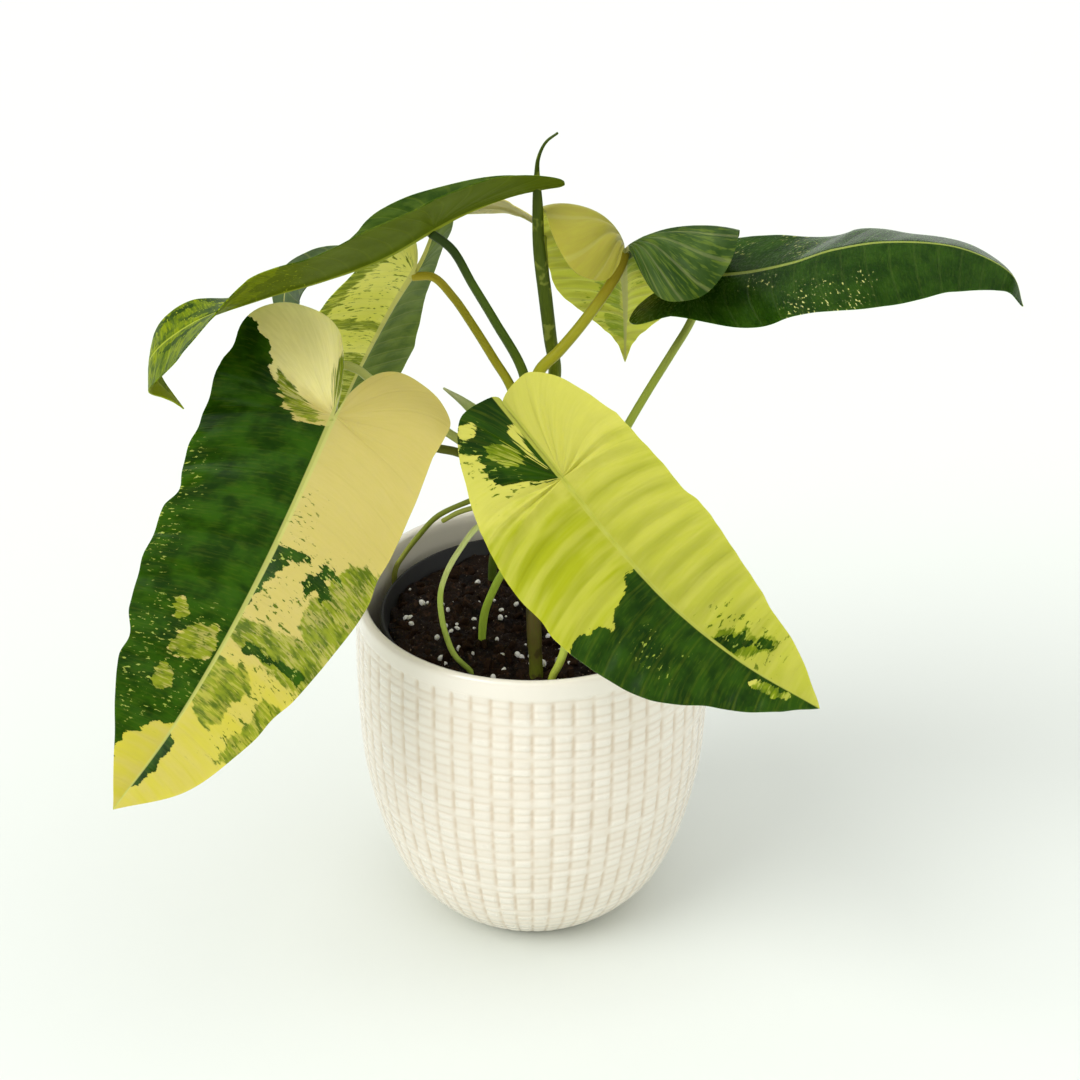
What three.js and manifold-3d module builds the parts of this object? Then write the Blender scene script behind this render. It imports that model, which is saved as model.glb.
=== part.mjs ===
// A potted variegated philodendron: a glazed pot with a woven relief, a plastic
// nursery pot inside it, potting soil, a short green stem with aerial roots, and
// long-stalked leaves with rounded basal lobes, one of them still rolled up.
// Millimetres, +Z up, origin at the centre of the pot's foot, viewer on the -Y side.
import * as THREE from "three";
import { mergeVertices } from "three/addons/utils/BufferGeometryUtils.js";
import Module from "manifold-3d";

const wasm = await Module();
wasm.setup();

// Driving dimensions

const CLEARANCE = 0.3; // between pieces that touch on the real plant

const POT_HEIGHT = 168;
const POT_WALL = 5;
const POT_FLOOR = 9;
const POT_COLUMNS = 56; // upright bands of the woven relief
const POT_GROOVE = 0.9; // depth of the grooves between them
const POT_PLAIN_RIM = 9; // smooth band below the lip
const POT_PLAIN_FOOT = 5;
// Outer radius at heights up the wall, from the foot to just under the lip.
const POT_OUTLINE = [
  [43, 0],
  [55, 10],
  [66, 25],
  [75, 50],
  [81.3, 84],
  [83, 126],
  [82, 165],
];

const INNER_TOP_RADIUS = 70.5;
const INNER_FOOT_RADIUS = 43;
const INNER_HEIGHT = 147;
const INNER_WALL = 1.6;
const INNER_LIP = 2;
const DRAIN_HOLES = 5;
const DRAIN_RADIUS = 5;

const SOIL_LEVEL = 151; // height above the table
const SOIL_LUMP = 2.2;
const STEM_DEPTH = 16; // how far stems and roots go down into the soil

const BLADE_THICKNESS = 0.8;
const RIB_DEPTH = 1.5; // how far the midrib stands out below the blade at the stalk
const LOBE_VEINS = 8; // side veins followed into each basal lobe
const BLADE_VEINS = 14; // and into each half of the rest of the blade
const BLADE_STEPS = 4; // steps from the midrib to the margin

const COLOUR = {
  glaze: { color: 0xefe6d6, roughness: 0.3, metalness: 0 },
  plastic: { color: 0x15161a, roughness: 0.45, metalness: 0 },
  soil: { color: 0x1d1411, roughness: 0.95, metalness: 0 },
  leafGreen: { color: 0x1f4a10, roughness: 0.35, metalness: 0 },
  leafYellow: { color: 0xc4c94a, roughness: 0.4, metalness: 0 },
  leafCream: { color: 0xe3d98c, roughness: 0.4, metalness: 0 },
  stalkGreen: { color: 0x4c6a1c, roughness: 0.4, metalness: 0 },
  stalkBronze: { color: 0xa58a2a, roughness: 0.4, metalness: 0 },
  stalkPale: { color: 0xa9bf4e, roughness: 0.4, metalness: 0 },
};

// Smooth readings

// A smooth curve through values spread evenly over 0 to 1, read at u.
function along(values, u) {
  const last = values.length - 1;
  if (last === 0) return values[0];
  const f = THREE.MathUtils.clamp(u, 0, 1) * last;
  const k = Math.min(last - 1, Math.floor(f));
  const t = f - k;
  const [b, c] = [values[k], values[k + 1]];
  const a = k > 0 ? values[k - 1] : 2 * b - c;
  const d = k < last - 1 ? values[k + 2] : 2 * c - b;
  return b + 0.5 * t * (c - a + t * (2 * a - 5 * b + 4 * c - d + t * (3 * (b - c) + d - a)));
}

// Solids and booleans

const plant = new THREE.Group();

function solidOf(geometry) {
  const bare = new THREE.BufferGeometry();
  bare.setAttribute("position", geometry.getAttribute("position"));
  if (geometry.index) bare.setIndex(geometry.index);
  const merged = mergeVertices(bare, 1e-3);
  const mesh = new wasm.Mesh({
    numProp: 3,
    vertProperties: merged.attributes.position.array,
    triVerts: new Uint32Array(merged.index.array),
  });
  return new wasm.Manifold(mesh);
}

function geometryOf(solid) {
  const mesh = solid.getMesh();
  const geometry = new THREE.BufferGeometry();
  geometry.setAttribute("position", new THREE.BufferAttribute(mesh.vertProperties, 3));
  geometry.setIndex(new THREE.BufferAttribute(mesh.triVerts, 1));
  return geometry;
}

// The largest of the bodies that a cut leaves.
function largest(solid) {
  const bodies = solid.decompose();
  bodies.sort((a, b) => b.volume() - a.volume());
  return bodies[0];
}

function add(name, geometry, colour) {
  geometry.computeVertexNormals();
  const mesh = new THREE.Mesh(geometry, new THREE.MeshStandardMaterial(COLOUR[colour]));
  mesh.name = name;
  plant.add(mesh);
}

// A closed body turned round the upright axis from [radius, height] points that start
// and end on the axis.
function turned(profile, segments) {
  const points = profile.map(([r, z]) => new THREE.Vector2(r, z));
  return new THREE.LatheGeometry(points, segments).rotateX(Math.PI / 2);
}

// A closed round tube along a smooth curve, its radius going through a list of radii.
function tube(points, radii, sides, steps, grow = 0) {
  const curve = new THREE.CatmullRomCurve3(points.map((p) => new THREE.Vector3(...p)));
  const frames = curve.computeFrenetFrames(steps, false);
  const vertices = [];
  for (let i = 0; i <= steps; i++) {
    const centre = curve.getPointAt(i / steps);
    if (i === 0) centre.addScaledVector(frames.tangents[i], -grow);
    if (i === steps) centre.addScaledVector(frames.tangents[i], grow);
    const radius = along(radii, i / steps) + grow;
    for (let j = 0; j < sides; j++) {
      const angle = (2 * Math.PI * j) / sides;
      const p = centre.clone();
      p.addScaledVector(frames.normals[i], radius * Math.cos(angle));
      p.addScaledVector(frames.binormals[i], radius * Math.sin(angle));
      vertices.push(...p);
    }
  }
  const index = [];
  for (let i = 0; i < steps; i++) {
    for (let j = 0; j < sides; j++) {
      const a = i * sides + j;
      const b = i * sides + ((j + 1) % sides);
      index.push(a, b, a + sides, b, b + sides, a + sides);
    }
  }
  for (let j = 1; j + 1 < sides; j++) {
    index.push(0, j + 1, j);
    index.push(steps * sides, steps * sides + j, steps * sides + j + 1);
  }
  const geometry = new THREE.BufferGeometry();
  geometry.setAttribute("position", new THREE.Float32BufferAttribute(vertices, 3));
  geometry.setIndex(index);
  return geometry;
}

// Leaf blades

// One half of a flat basal lobe, from the sinus round to the widest place beside the
// stalk: backwards in lobe lengths, across in half widths. The first four points are
// the inner edge, which a leaf's sinus value draws in towards the other lobe.
const LOBE_OUTLINE = [
  [0, 0],
  [-0.4, 0.05],
  [-0.78, 0.16],
  [-0.97, 0.3],
  [-1, 0.48],
  [-0.93, 0.7],
  [-0.68, 0.88],
  [-0.32, 0.97],
];
const STALK_SHARE = 0.1; // side veins that end below this share of the length start at the stalk

const radians = THREE.MathUtils.degToRad;

// The blade's shape in space. leaf gives the midrib's points from the stalk to the tip,
// where the upper face looks along it (face), and for each half its widths from stalk to
// tip, its lobe's length, the angle that it rises from the midrib (fold), the further
// turn from midrib to margin (curl), and how far the lobe bends up behind the stalk.
function bladeShape(leaf) {
  const curve = new THREE.CatmullRomCurve3(leaf.midrib.map((p) => new THREE.Vector3(...p)));
  curve.curveType = "catmullrom";
  const length = curve.getLength();
  const frameAt = (u) => {
    const forward = curve.getTangentAt(u);
    const face = new THREE.Vector3(...[0, 1, 2].map((k) => along(leaf.face.map((v) => v[k]), u)));
    face.addScaledVector(forward, -face.dot(forward)).normalize();
    const side = new THREE.Vector3().crossVectors(forward, face);
    return { forward, face, side, place: curve.getPointAt(u) };
  };
  const atStalk = frameAt(0);
  const lobeFrame = (half, back) => {
    const bend = radians(half.bend || 0.01) / half.lobe;
    const angle = back * bend;
    const place = atStalk.place.clone();
    place.addScaledVector(atStalk.forward, -Math.sin(angle) / bend);
    place.addScaledVector(atStalk.face, (1 - Math.cos(angle)) / bend);
    const face = atStalk.face.clone().multiplyScalar(Math.cos(angle));
    face.addScaledVector(atStalk.forward, Math.sin(angle));
    return { place, face, side: atStalk.side };
  };
  const point = (name, x, y) => {
    const half = leaf[name];
    const u = THREE.MathUtils.clamp(x / length, 0, 1);
    const back = THREE.MathUtils.smoothstep(-x, 0, half.lobe);
    const frame = x < 0 ? lobeFrame(half, -x) : frameAt(u);
    const width = Math.max(...half.widths);
    const fold = radians(along(half.fold, u) + back * half.lobeFold);
    const turn = radians(along(half.curl, u) + back * half.lobeCurl || 0.01) / width;
    const across = (Math.sin(fold + turn * y) - Math.sin(fold)) / turn;
    const rise = (Math.cos(fold) - Math.cos(fold + turn * y)) / turn;
    const sign = name === "left" ? 1 : -1;
    const phase = (2 * Math.PI * leaf.waves * x) / length + sign;
    const wave = leaf.wave * (y / width) ** 2 * Math.sin(phase);
    const p = frame.place.clone();
    p.addScaledVector(frame.side, sign * across);
    return p.addScaledVector(frame.face, rise + wave);
  };
  const normal = (name, x, y) => {
    if (y < 1e-6) return frameAt(THREE.MathUtils.clamp(x / length, 0, 1)).face;
    const lengthwise = point(name, x + 0.5, y).sub(point(name, x - 0.5, y));
    const sideways = point(name, x, y + 0.1).sub(point(name, x, y - 0.1));
    const n = sideways.cross(lengthwise).normalize();
    return name === "left" ? n : n.negate();
  };
  return { length, point, normal, atStalk };
}

// The margin's flat place on one half, at a side vein's number: first round the lobe
// from the sinus, then from beside the stalk to the tip.
function marginPlace(half, length, vein) {
  if (vein <= LOBE_VEINS) {
    const places = LOBE_OUTLINE.map(([x, y], i) => [x, i < 4 ? y * half.sinus : y]);
    const points = [...places, [0, 1]].map(([x, y]) => new THREE.Vector2(x, y));
    const p = new THREE.SplineCurve(points).getPoint(vein / LOBE_VEINS);
    return [p.x * half.lobe, p.y * half.widths[0] * (1 + half.taper * p.x)];
  }
  const u = (vein - LOBE_VEINS) / BLADE_VEINS;
  return [u * length, Math.max(0, along([...half.widths, 0], u))];
}

// Flat place of a point on a side vein, a share of the way from the midrib to the margin.
function flatPlace(half, length, vein, share) {
  const [x, y] = marginPlace(half, length, vein);
  const start = Math.max(0, x - STALK_SHARE * length) / (1 - STALK_SHARE);
  return [THREE.MathUtils.lerp(start, x, share), y * share];
}

function blade(leaf, grow = 0) {
  const shape = bladeShape(leaf);
  const vertices = [];
  const index = [];
  const steps = BLADE_STEPS;
  const veins = LOBE_VEINS + BLADE_VEINS;
  const halves = ["left", "right"];
  const grid = { left: [], right: [] };
  const ribDepth = (x, y) => {
    const left = THREE.MathUtils.clamp(1 - x / shape.length, 0, 1);
    return RIB_DEPTH * left * Math.exp(-y * y / 9);
  };
  const vertex = (half, x, y) => {
    const p = shape.point(half, x, y);
    const n = shape.normal(half, x, y);
    const below = BLADE_THICKNESS / 2 + grow + ribDepth(x, y);
    vertices.push(...p.clone().addScaledVector(n, BLADE_THICKNESS / 2 + grow));
    vertices.push(...p.clone().addScaledVector(n, -below));
    return vertices.length / 3 - 2;
  };
  for (const half of halves) {
    for (let i = 0; i <= veins; i++) {
      const row = [];
      for (let j = 0; j <= steps; j++) {
        const step = (j / steps) ** 1.4;
        const [x, y] = flatPlace(leaf[half], shape.length, i, step);
        row.push(vertex(half, x, y));
      }
      grid[half].push(row);
    }
  }
  // Faces on the upper side, with the same ones turned over below.
  const face = (a, b, c) => {
    index.push(a, b, c, a + 1, c + 1, b + 1);
  };
  for (const half of halves) {
    const flip = half === "right";
    for (let i = 0; i < veins; i++) {
      for (let j = 0; j < steps; j++) {
        const [a, b] = [grid[half][i][j], grid[half][i + 1][j]];
        const [c, d] = [grid[half][i][j + 1], grid[half][i + 1][j + 1]];
        if (flip) {
          face(a, b, d);
          face(a, d, c);
        } else {
          face(a, d, b);
          face(a, c, d);
        }
      }
    }
    // The margin, and the lobe's edge in the sinus.
    const rim = [...grid[half][0], ...grid[half].slice(1).map((row) => row[steps])];
    for (let k = 0; k + 1 < rim.length; k++) {
      const [a, b] = flip ? [rim[k + 1], rim[k]] : [rim[k], rim[k + 1]];
      index.push(a, a + 1, b + 1, a, b + 1, b);
    }
  }
  const geometry = new THREE.BufferGeometry();
  geometry.setAttribute("position", new THREE.Float32BufferAttribute(vertices, 3));
  geometry.setIndex(index);
  return geometry;
}

// The leaves. Each half is named as seen on the upper face with the tip pointing down.
const LEAVES = {
  front_left: {
    midrib: [[-84, -45, 280], [-99.5, -63.5, 250], [-116, -83, 221], [-134, -101.5, 193],
      [-154, -118.5, 165.5], [-177, -133, 138]],
    face: [[-0.1, -0.87, 0.6], [-0.1, -0.87, 0.5]],
    left: { widths: [54, 52.5, 51.5, 49.5, 47, 41, 31.5, 17], lobe: 38, taper: -0.15, sinus: 1, bend: 0,
      fold: [0, 5, 10], curl: [0], lobeFold: 0, lobeCurl: 0 },
    right: { widths: [47, 48.5, 48, 47.5, 43, 37, 30, 20], lobe: 31, taper: -0.15, sinus: 1, bend: -30,
      fold: [10, 5, 10], curl: [-10, 0, 0], lobeFold: -10, lobeCurl: -20 },
    wave: 1.5,
    waves: 3,
    colour: "leafGreen",
  },
  front_right: {
    midrib: [[13, -60, 258], [35, -83.5, 239.5], [59, -106, 222], [87, -126.5, 207.5], [117, -146, 198]],
    face: [[0.1, -0.8, 0.6], [0.1, -0.8, 0.6]],
    left: { widths: [43, 46.3, 47, 46.8, 42.5, 36.8, 24.7, 13.5],
      lobe: 49, taper: 0.3, sinus: 0.05, bend: 0,
      fold: [10, 5, 10], curl: [-10, 0, 0], lobeFold: 0, lobeCurl: 0 },
    right: { widths: [42, 42.7, 44.5, 45.5, 42.5, 36.5, 28.2, 18],
      lobe: 45, taper: 0.3, sinus: 0.05, bend: 0,
      fold: [50, 45, 30], curl: [-10, 0, 0], lobeFold: -10, lobeCurl: 0 },
    wave: 1.5,
    waves: 3,
    colour: "leafYellow",
  },
  upper_left: {
    midrib: [[-41, -8, 351], [-64, -18, 341], [-89, -25, 334], [-114, -30, 328], [-144, -35, 317.5],
      [-163, -34, 298], [-151.5, -23, 272]],
    face: [[0, 0.38, 0.92], [0, 0.45, 0.9], [0, 0.42, 0.9], [-0.66, 0.12, 0.74], [-0.9, -0.2, -0.37]],
    left: { widths: [36, 38, 28, 26, 33, 31, 23, 9], lobe: 50, taper: 0.2, sinus: 1, bend: -25,
      fold: [22, 24, 8, 14, 0], curl: [0], lobeFold: 0, lobeCurl: 0 },
    right: { widths: [33, 37, 40, 40, 38, 33, 24, 9], lobe: 57, taper: 0.4, sinus: 1, bend: -28,
      fold: [23, 14, 6, -18, -10], curl: [0], lobeFold: 0, lobeCurl: 0 },
    wave: 1,
    waves: 3,
    colour: "leafGreen",
  },
  rear_left: {
    midrib: [[-52.5, 28, 315.5], [-65, 42, 290], [-81, 60, 253], [-91, 70, 228], [-101, 77, 205]],
    face: [[-0.45, 0.75, 0.45], [-0.5, 0.75, 0.4]],
    left: { widths: [25, 26, 27, 30, 32, 34, 31, 15], lobe: 40, taper: 0.2, sinus: 1, bend: 30,
      fold: [28, 12, 2], curl: [0], lobeFold: 0, lobeCurl: 0 },
    right: { widths: [24, 26, 31, 34, 33, 29, 21, 11], lobe: 30, taper: 0.2, sinus: 1, bend: 100,
      fold: [20, 15, 10], curl: [0], lobeFold: 0, lobeCurl: 0 },
    wave: 1,
    waves: 3,
    colour: "leafYellow",
  },
  right: {
    midrib: [[75, 30, 311], [96, 22, 317], [114, 16, 324], [132, 10, 333], [155, 5, 338.5], [183, 0, 338],
      [205, -6, 329], [212, -8, 314]],
    face: [[0, 0.05, 1], [0, 0.1, 1], [0.5, 0, 0.85]],
    left: { widths: [43, 45, 46, 46, 44, 40, 31, 17], lobe: 27, taper: -0.1, sinus: 1, bend: -20,
      fold: [-2, -13, -18, -20, -20], curl: [-5], lobeFold: 0, lobeCurl: 0 },
    right: { widths: [40, 44, 44, 43, 40, 35, 28, 16], lobe: 30, taper: 0.2, sinus: 1, bend: -20,
      fold: [10, 2, -6, -9, -10], curl: [-5], lobeFold: 0, lobeCurl: 0 },
    wave: 1,
    waves: 3,
    colour: "leafGreen",
  },
  rear_right: {
    midrib: [[40.5, 15, 331], [41, 40, 314], [43, 62, 286], [44, 82, 259], [44.5, 90, 241]],
    face: [[0, 0.8, 0.6], [0, 0.8, 0.6]],
    left: { widths: [52, 52, 48, 43, 38, 31, 18, 5], lobe: 38, taper: 0, sinus: 1, bend: -105,
      fold: [30, 20, 5], curl: [-45, -20, 0], lobeFold: 0, lobeCurl: 0 },
    right: { widths: [45, 45, 43, 40, 37, 31, 18, 5], lobe: 28, taper: 0, sinus: 1, bend: -95,
      fold: [70, 30, 5], curl: [-85, -30, 0], lobeFold: 0, lobeCurl: 0 },
    wave: 1,
    waves: 3,
    colour: "leafCream",
  },
  back_left: {
    midrib: [[5, 66, 321.5], [-6, 70, 326], [-18, 73, 328], [-38, 77, 323.5], [-61, 79, 314],
      [-86, 79, 303], [-104, 78, 296], [-115, 75, 286], [-116, 70, 268]],
    face: [[-0.2, 0.5, 0.85], [-0.3, 0.5, 0.85], [-0.6, 0.2, 0.8], [-0.75, -0.5, 0.3]],
    left: { widths: [20, 22, 22, 18, 15, 16, 22, 20], lobe: 16, taper: 0.2, sinus: 1, bend: -15,
      fold: [0], curl: [0], lobeFold: 0, lobeCurl: 0 },
    right: { widths: [20, 24, 27, 29, 30, 31, 30, 22], lobe: 16, taper: 0.2, sinus: 1, bend: -15,
      fold: [0], curl: [0], lobeFold: 0, lobeCurl: 0 },
    wave: 1,
    waves: 3,
    colour: "leafGreen",
  },
};

// Pieces that touch on the plant are modelled CLEARANCE apart: each piece is cut back
// from the grown shapes of the ones before it.
const grown = [];
function addFitted(name, shape, colour) {
  let solid = solidOf(shape(0));
  for (const other of grown) solid = solid.subtract(other);
  grown.push(solidOf(shape(CLEARANCE)));
  add(name, geometryOf(largest(solid)), colour);
}

for (const [name, leaf] of Object.entries(LEAVES)) {
  addFitted(`leaf_${name}_blade`, (grow) => blade(leaf, grow), leaf.colour);
}

// Stem, leaf stalks and the rolled new leaf

addFitted("main_stem", (grow) => tube(
  [[2, -50, SOIL_LEVEL - STEM_DEPTH], [1.7, -48, 155], [0.8, -43, 175], [1, -34, 189], [0, -20, 210],
    [-1.5, -10, 238], [-1, -4, 264]],
  [3.2, 3.2, 3.5, 4.2, 4.8, 5, 4.6], 12, 16, grow,
), "stalkGreen");

addFitted("new_leaf_spike", (grow) => tube(
  [[6, -3, 255], [10, -1, 279], [8, 1, 295], [5.5, 2, 317], [3, 3, 338], [2.5, 4, 356], [2.2, 4, 370],
    [2.8, 4, 377], [6, 3, 384.5], [11, 2, 389]],
  [2.6, 2.8, 2.9, 3, 3, 2.6, 2.2, 0.9, 0.5], 10, 24, grow,
), "leafGreen");

// Each stalk runs from the stem to just below the start of its leaf's midrib.
const STALKS = {
  front_left: {
    points: [[-4, -6, 231], [-20, -9, 241], [-34, -11, 252], [-53, -17, 269.5], [-68, -20, 283],
      [-76, -22, 291],
      [-83, -24, 293]],
    radii: [3.4, 2.1, 2, 1.9, 2],
    colour: "stalkPale",
  },
  front_right: {
    points: [[-3, -9, 214], [0, -22, 226], [5, -38, 243]],
    radii: [3.4, 2.3, 2.2],
    colour: "stalkPale",
  },
  upper_left: {
    points: [[-1, -4, 258], [-4, -4, 281], [-16, -4, 305], [-25.5, -5, 323], [-34, -7, 340]],
    radii: [2.6, 2.2, 2, 1.9, 2],
    colour: "stalkGreen",
  },
  rear_left: {
    points: [[-4, -2, 246], [-9, -1, 271], [-17, 5, 283], [-26, 12, 295.5], [-35, 20, 306], [-44, 26, 313]],
    radii: [3, 2.2, 2, 1.9, 1.9],
    colour: "stalkBronze",
  },
  right: {
    points: [[-2, -5, 184], [13, 0, 191], [31, 6, 224], [44, 12, 248], [53, 18, 262], [63, 24, 277],
      [71, 28, 290]],
    radii: [3.4, 2.4, 2, 1.9, 1.9],
    colour: "stalkPale",
  },
  rear_right: {
    points: [[0, -9, 262], [3, -11, 284], [12, -9, 293.5], [21.5, -4, 303.5], [32, 4, 315.5],
      [38.5, 12, 323.5]],
    radii: [2.8, 2.6, 2.5, 2.4, 2.3],
    colour: "stalkBronze",
  },
  back_left: {
    points: [[1, 0, 252], [8, 8, 262], [11, 8, 275], [9, 16, 288], [6.5, 30, 305], [5, 46, 317.5],
      [4.5, 56, 321]],
    radii: [2.6, 2, 1.9, 1.8],
    colour: "stalkPale",
  },
};

function stalkPoints(name) {
  const { atStalk } = bladeShape(LEAVES[name]);
  const end = atStalk.place.clone();
  end.addScaledVector(atStalk.forward, 3);
  end.addScaledVector(atStalk.face, -(BLADE_THICKNESS / 2 + RIB_DEPTH + CLEARANCE));
  return [...STALKS[name].points, end.toArray()];
}

for (const [name, stalk] of Object.entries(STALKS)) {
  const points = stalkPoints(name);
  addFitted(`leaf_${name}_stalk`, (grow) => tube(points, stalk.radii, 8, 16, grow), stalk.colour);
}

// The stalk of an older leaf that was cut off
addFitted("cut_stalk", (grow) => tube(
  [[-5, -3, 222], [-18, -4, 233], [-34, -4, 241], [-43, -2, 242], [-55, 2, 244], [-64, 5, 244]],
  [3.2, 2.2, 2, 2, 2], 8, 12, grow,
), "stalkGreen");

// A small pale bract that wrapped the bud of an older leaf
addFitted("bract_left", (grow) => tube(
  [[-6, -7, 246], [-14, -9, 254], [-24, -15, 266], [-31, -20, 275], [-38, -25, 283]],
  [2.2, 3.2, 3, 1.8, 0.5], 8, 8, grow,
), "stalkPale");

// Aerial roots that run down from the stem into the soil
const ROOTS = {
  aerial_root_front_left: {
    points: [[-3, -20, 210], [-13, -22, 217], [-24, -24, 214], [-32, -28, 205], [-38, -33, 196],
      [-41, -37, 187],
      [-40.5, -40, 176], [-38.3, -42, 166.5], [-35, -43, 158], [-28, -43.5, 150], [-23, -43, 143]],
    radius: 1.3,
    colour: "stalkPale",
  },
  aerial_root_rear_left: {
    points: [[-4, -10, 228], [-16, 8, 215], [-28, 17, 205], [-45, 28, 190], [-54, 31, 178], [-61, 33, 167],
      [-66, 36, 156], [-66.5, 36, 138]],
    radius: 1.3,
    colour: "stalkGreen",
  },
  aerial_root_rear_fork: {
    points: [[-3, -12, 216], [-14, 2, 212], [-26, 12, 204], [-35, 20, 196.5], [-42, 25, 189.5]],
    radius: 1.2,
    colour: "stalkGreen",
  },
  aerial_root_left: {
    points: [[-2, -22, 208], [-9, -15, 193], [-14.3, -16, 184], [-17.3, -17, 178], [-21.7, -19, 166.5],
      [-23.3, -19.5, 152], [-23.5, -20, 138]],
    radius: 1.8,
    colour: "stalkPale",
  },
  aerial_root_short: {
    points: [[-3, -12, 220], [-10, -8, 206], [-16, -7, 195], [-18, -6, 186], [-18.5, -6, 176]],
    radius: 2,
    colour: "stalkGreen",
  },
  aerial_root_front_right: {
    points: [[2, -24, 202], [12, -38, 190], [15.5, -47, 176], [14.3, -51, 166], [12, -52, 159],
      [9, -52, 152],
      [7.5, -52, 140]],
    radius: 1.8,
    colour: "stalkPale",
  },
};
for (const [name, root] of Object.entries(ROOTS)) {
  addFitted(name, (grow) => tube(root.points, [root.radius], 6, 14, grow), root.colour);
}

// Pots and soil

function outlineRadius(z) {
  const next = POT_OUTLINE.findIndex(([, height]) => height > z);
  const k = next < 0 ? POT_OUTLINE.length - 1 : next;
  const [[r0, z0], [r1, z1]] = [POT_OUTLINE[k - 1], POT_OUTLINE[k]];
  return THREE.MathUtils.lerp(r0, r1, (z - z0) / (z1 - z0));
}

// The glazed pot's wall stands in upright bands with grooves between them.
function glazedPot() {
  const shoulder = POT_HEIGHT - 3;
  const lip = outlineRadius(shoulder);
  const outside = POT_OUTLINE.map(([r, z]) => [r, z]);
  const rim = [
    [lip - 0.3, POT_HEIGHT - 1], [lip - 1.6, POT_HEIGHT],
    [lip - 3.4, POT_HEIGHT], [lip - 4.7, POT_HEIGHT - 1],
  ];
  const inside = [150, 126, 84, 50, 25, POT_FLOOR + 4].map((z) => [outlineRadius(z) - POT_WALL, z]);
  const floor = [[outlineRadius(POT_FLOOR) - POT_WALL - 4, POT_FLOOR], [0, POT_FLOOR]];
  const profile = [[0, 0], ...outside, ...rim, ...inside, ...floor];
  const segments = 2 * POT_COLUMNS;
  const geometry = turned(profile, segments);
  const place = geometry.attributes.position;
  for (let s = 0; s <= segments; s += 2) {
    for (let k = 1; k <= outside.length; k++) {
      const z = outside[k - 1][1];
      if (z < POT_PLAIN_FOOT || z > POT_HEIGHT - POT_PLAIN_RIM) continue;
      const i = s * profile.length + k;
      const shrink = 1 - POT_GROOVE / outside[k - 1][0];
      place.setXY(i, place.getX(i) * shrink, place.getY(i) * shrink);
    }
  }
  return geometry;
}

function nurseryPot() {
  const foot = POT_FLOOR + CLEARANCE;
  const top = foot + INNER_HEIGHT;
  const profile = [
    [0, foot],
    [INNER_FOOT_RADIUS, foot],
    [INNER_TOP_RADIUS - 1, top - 7],
    [INNER_TOP_RADIUS + INNER_LIP - INNER_WALL, top - 7],
    [INNER_TOP_RADIUS + INNER_LIP - INNER_WALL, top],
    [INNER_TOP_RADIUS - INNER_WALL, top],
    [INNER_FOOT_RADIUS - INNER_WALL, foot + INNER_WALL],
    [0, foot + INNER_WALL],
  ];
  let pot = solidOf(turned(profile, 72));
  for (let k = 0; k < DRAIN_HOLES; k++) {
    const angle = (2 * Math.PI * k) / DRAIN_HOLES;
    const drill = new THREE.CylinderGeometry(DRAIN_RADIUS, DRAIN_RADIUS, 6, 20).rotateX(Math.PI / 2);
    drill.translate(26 * Math.cos(angle), 26 * Math.sin(angle), foot + 1);
    pot = pot.subtract(solidOf(drill));
  }
  return geometryOf(pot);
}

// Lumpy potting mix that fills the nursery pot, with a hole for every stem and root.
function soil() {
  const foot = POT_FLOOR + CLEARANCE + INNER_WALL + CLEARANCE;
  const slope = (INNER_TOP_RADIUS - INNER_FOOT_RADIUS) / INNER_HEIGHT;
  const footRadius = INNER_FOOT_RADIUS - INNER_WALL - 2 * CLEARANCE;
  const topRadius = footRadius + (SOIL_LEVEL - 4 - foot) * slope;
  const rings = [0.97, 0.88, 0.78, 0.66, 0.54, 0.4, 0.26, 0.13];
  const surface = rings.map((share) => [topRadius * share, SOIL_LEVEL]);
  const segments = 32;
  const profile = [[0, foot], [footRadius, foot], [topRadius, SOIL_LEVEL - 4], ...surface, [0, SOIL_LEVEL]];
  const geometry = turned(profile, segments);
  const place = geometry.attributes.position;
  for (let i = 0; i < place.count; i++) {
    const [x, y, z] = [place.getX(i), place.getY(i), place.getZ(i)];
    if (z < SOIL_LEVEL - 1) continue;
    const lump = Math.sin(x * 0.31 + 1.3 * Math.sin(y * 0.23))
      * Math.cos(y * 0.37 + 1.1 * Math.sin(x * 0.29));
    place.setZ(i, z + SOIL_LUMP * lump - 1.5 * (Math.hypot(x, y) / topRadius) ** 4);
  }
  let solid = solidOf(geometry);
  for (const other of grown) solid = solid.subtract(other);
  return geometryOf(largest(solid));
}

add("cachepot", glazedPot(), "glaze");
add("nursery_pot", nurseryPot(), "plastic");
add("potting_soil", soil(), "soil");

export default plant;
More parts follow.
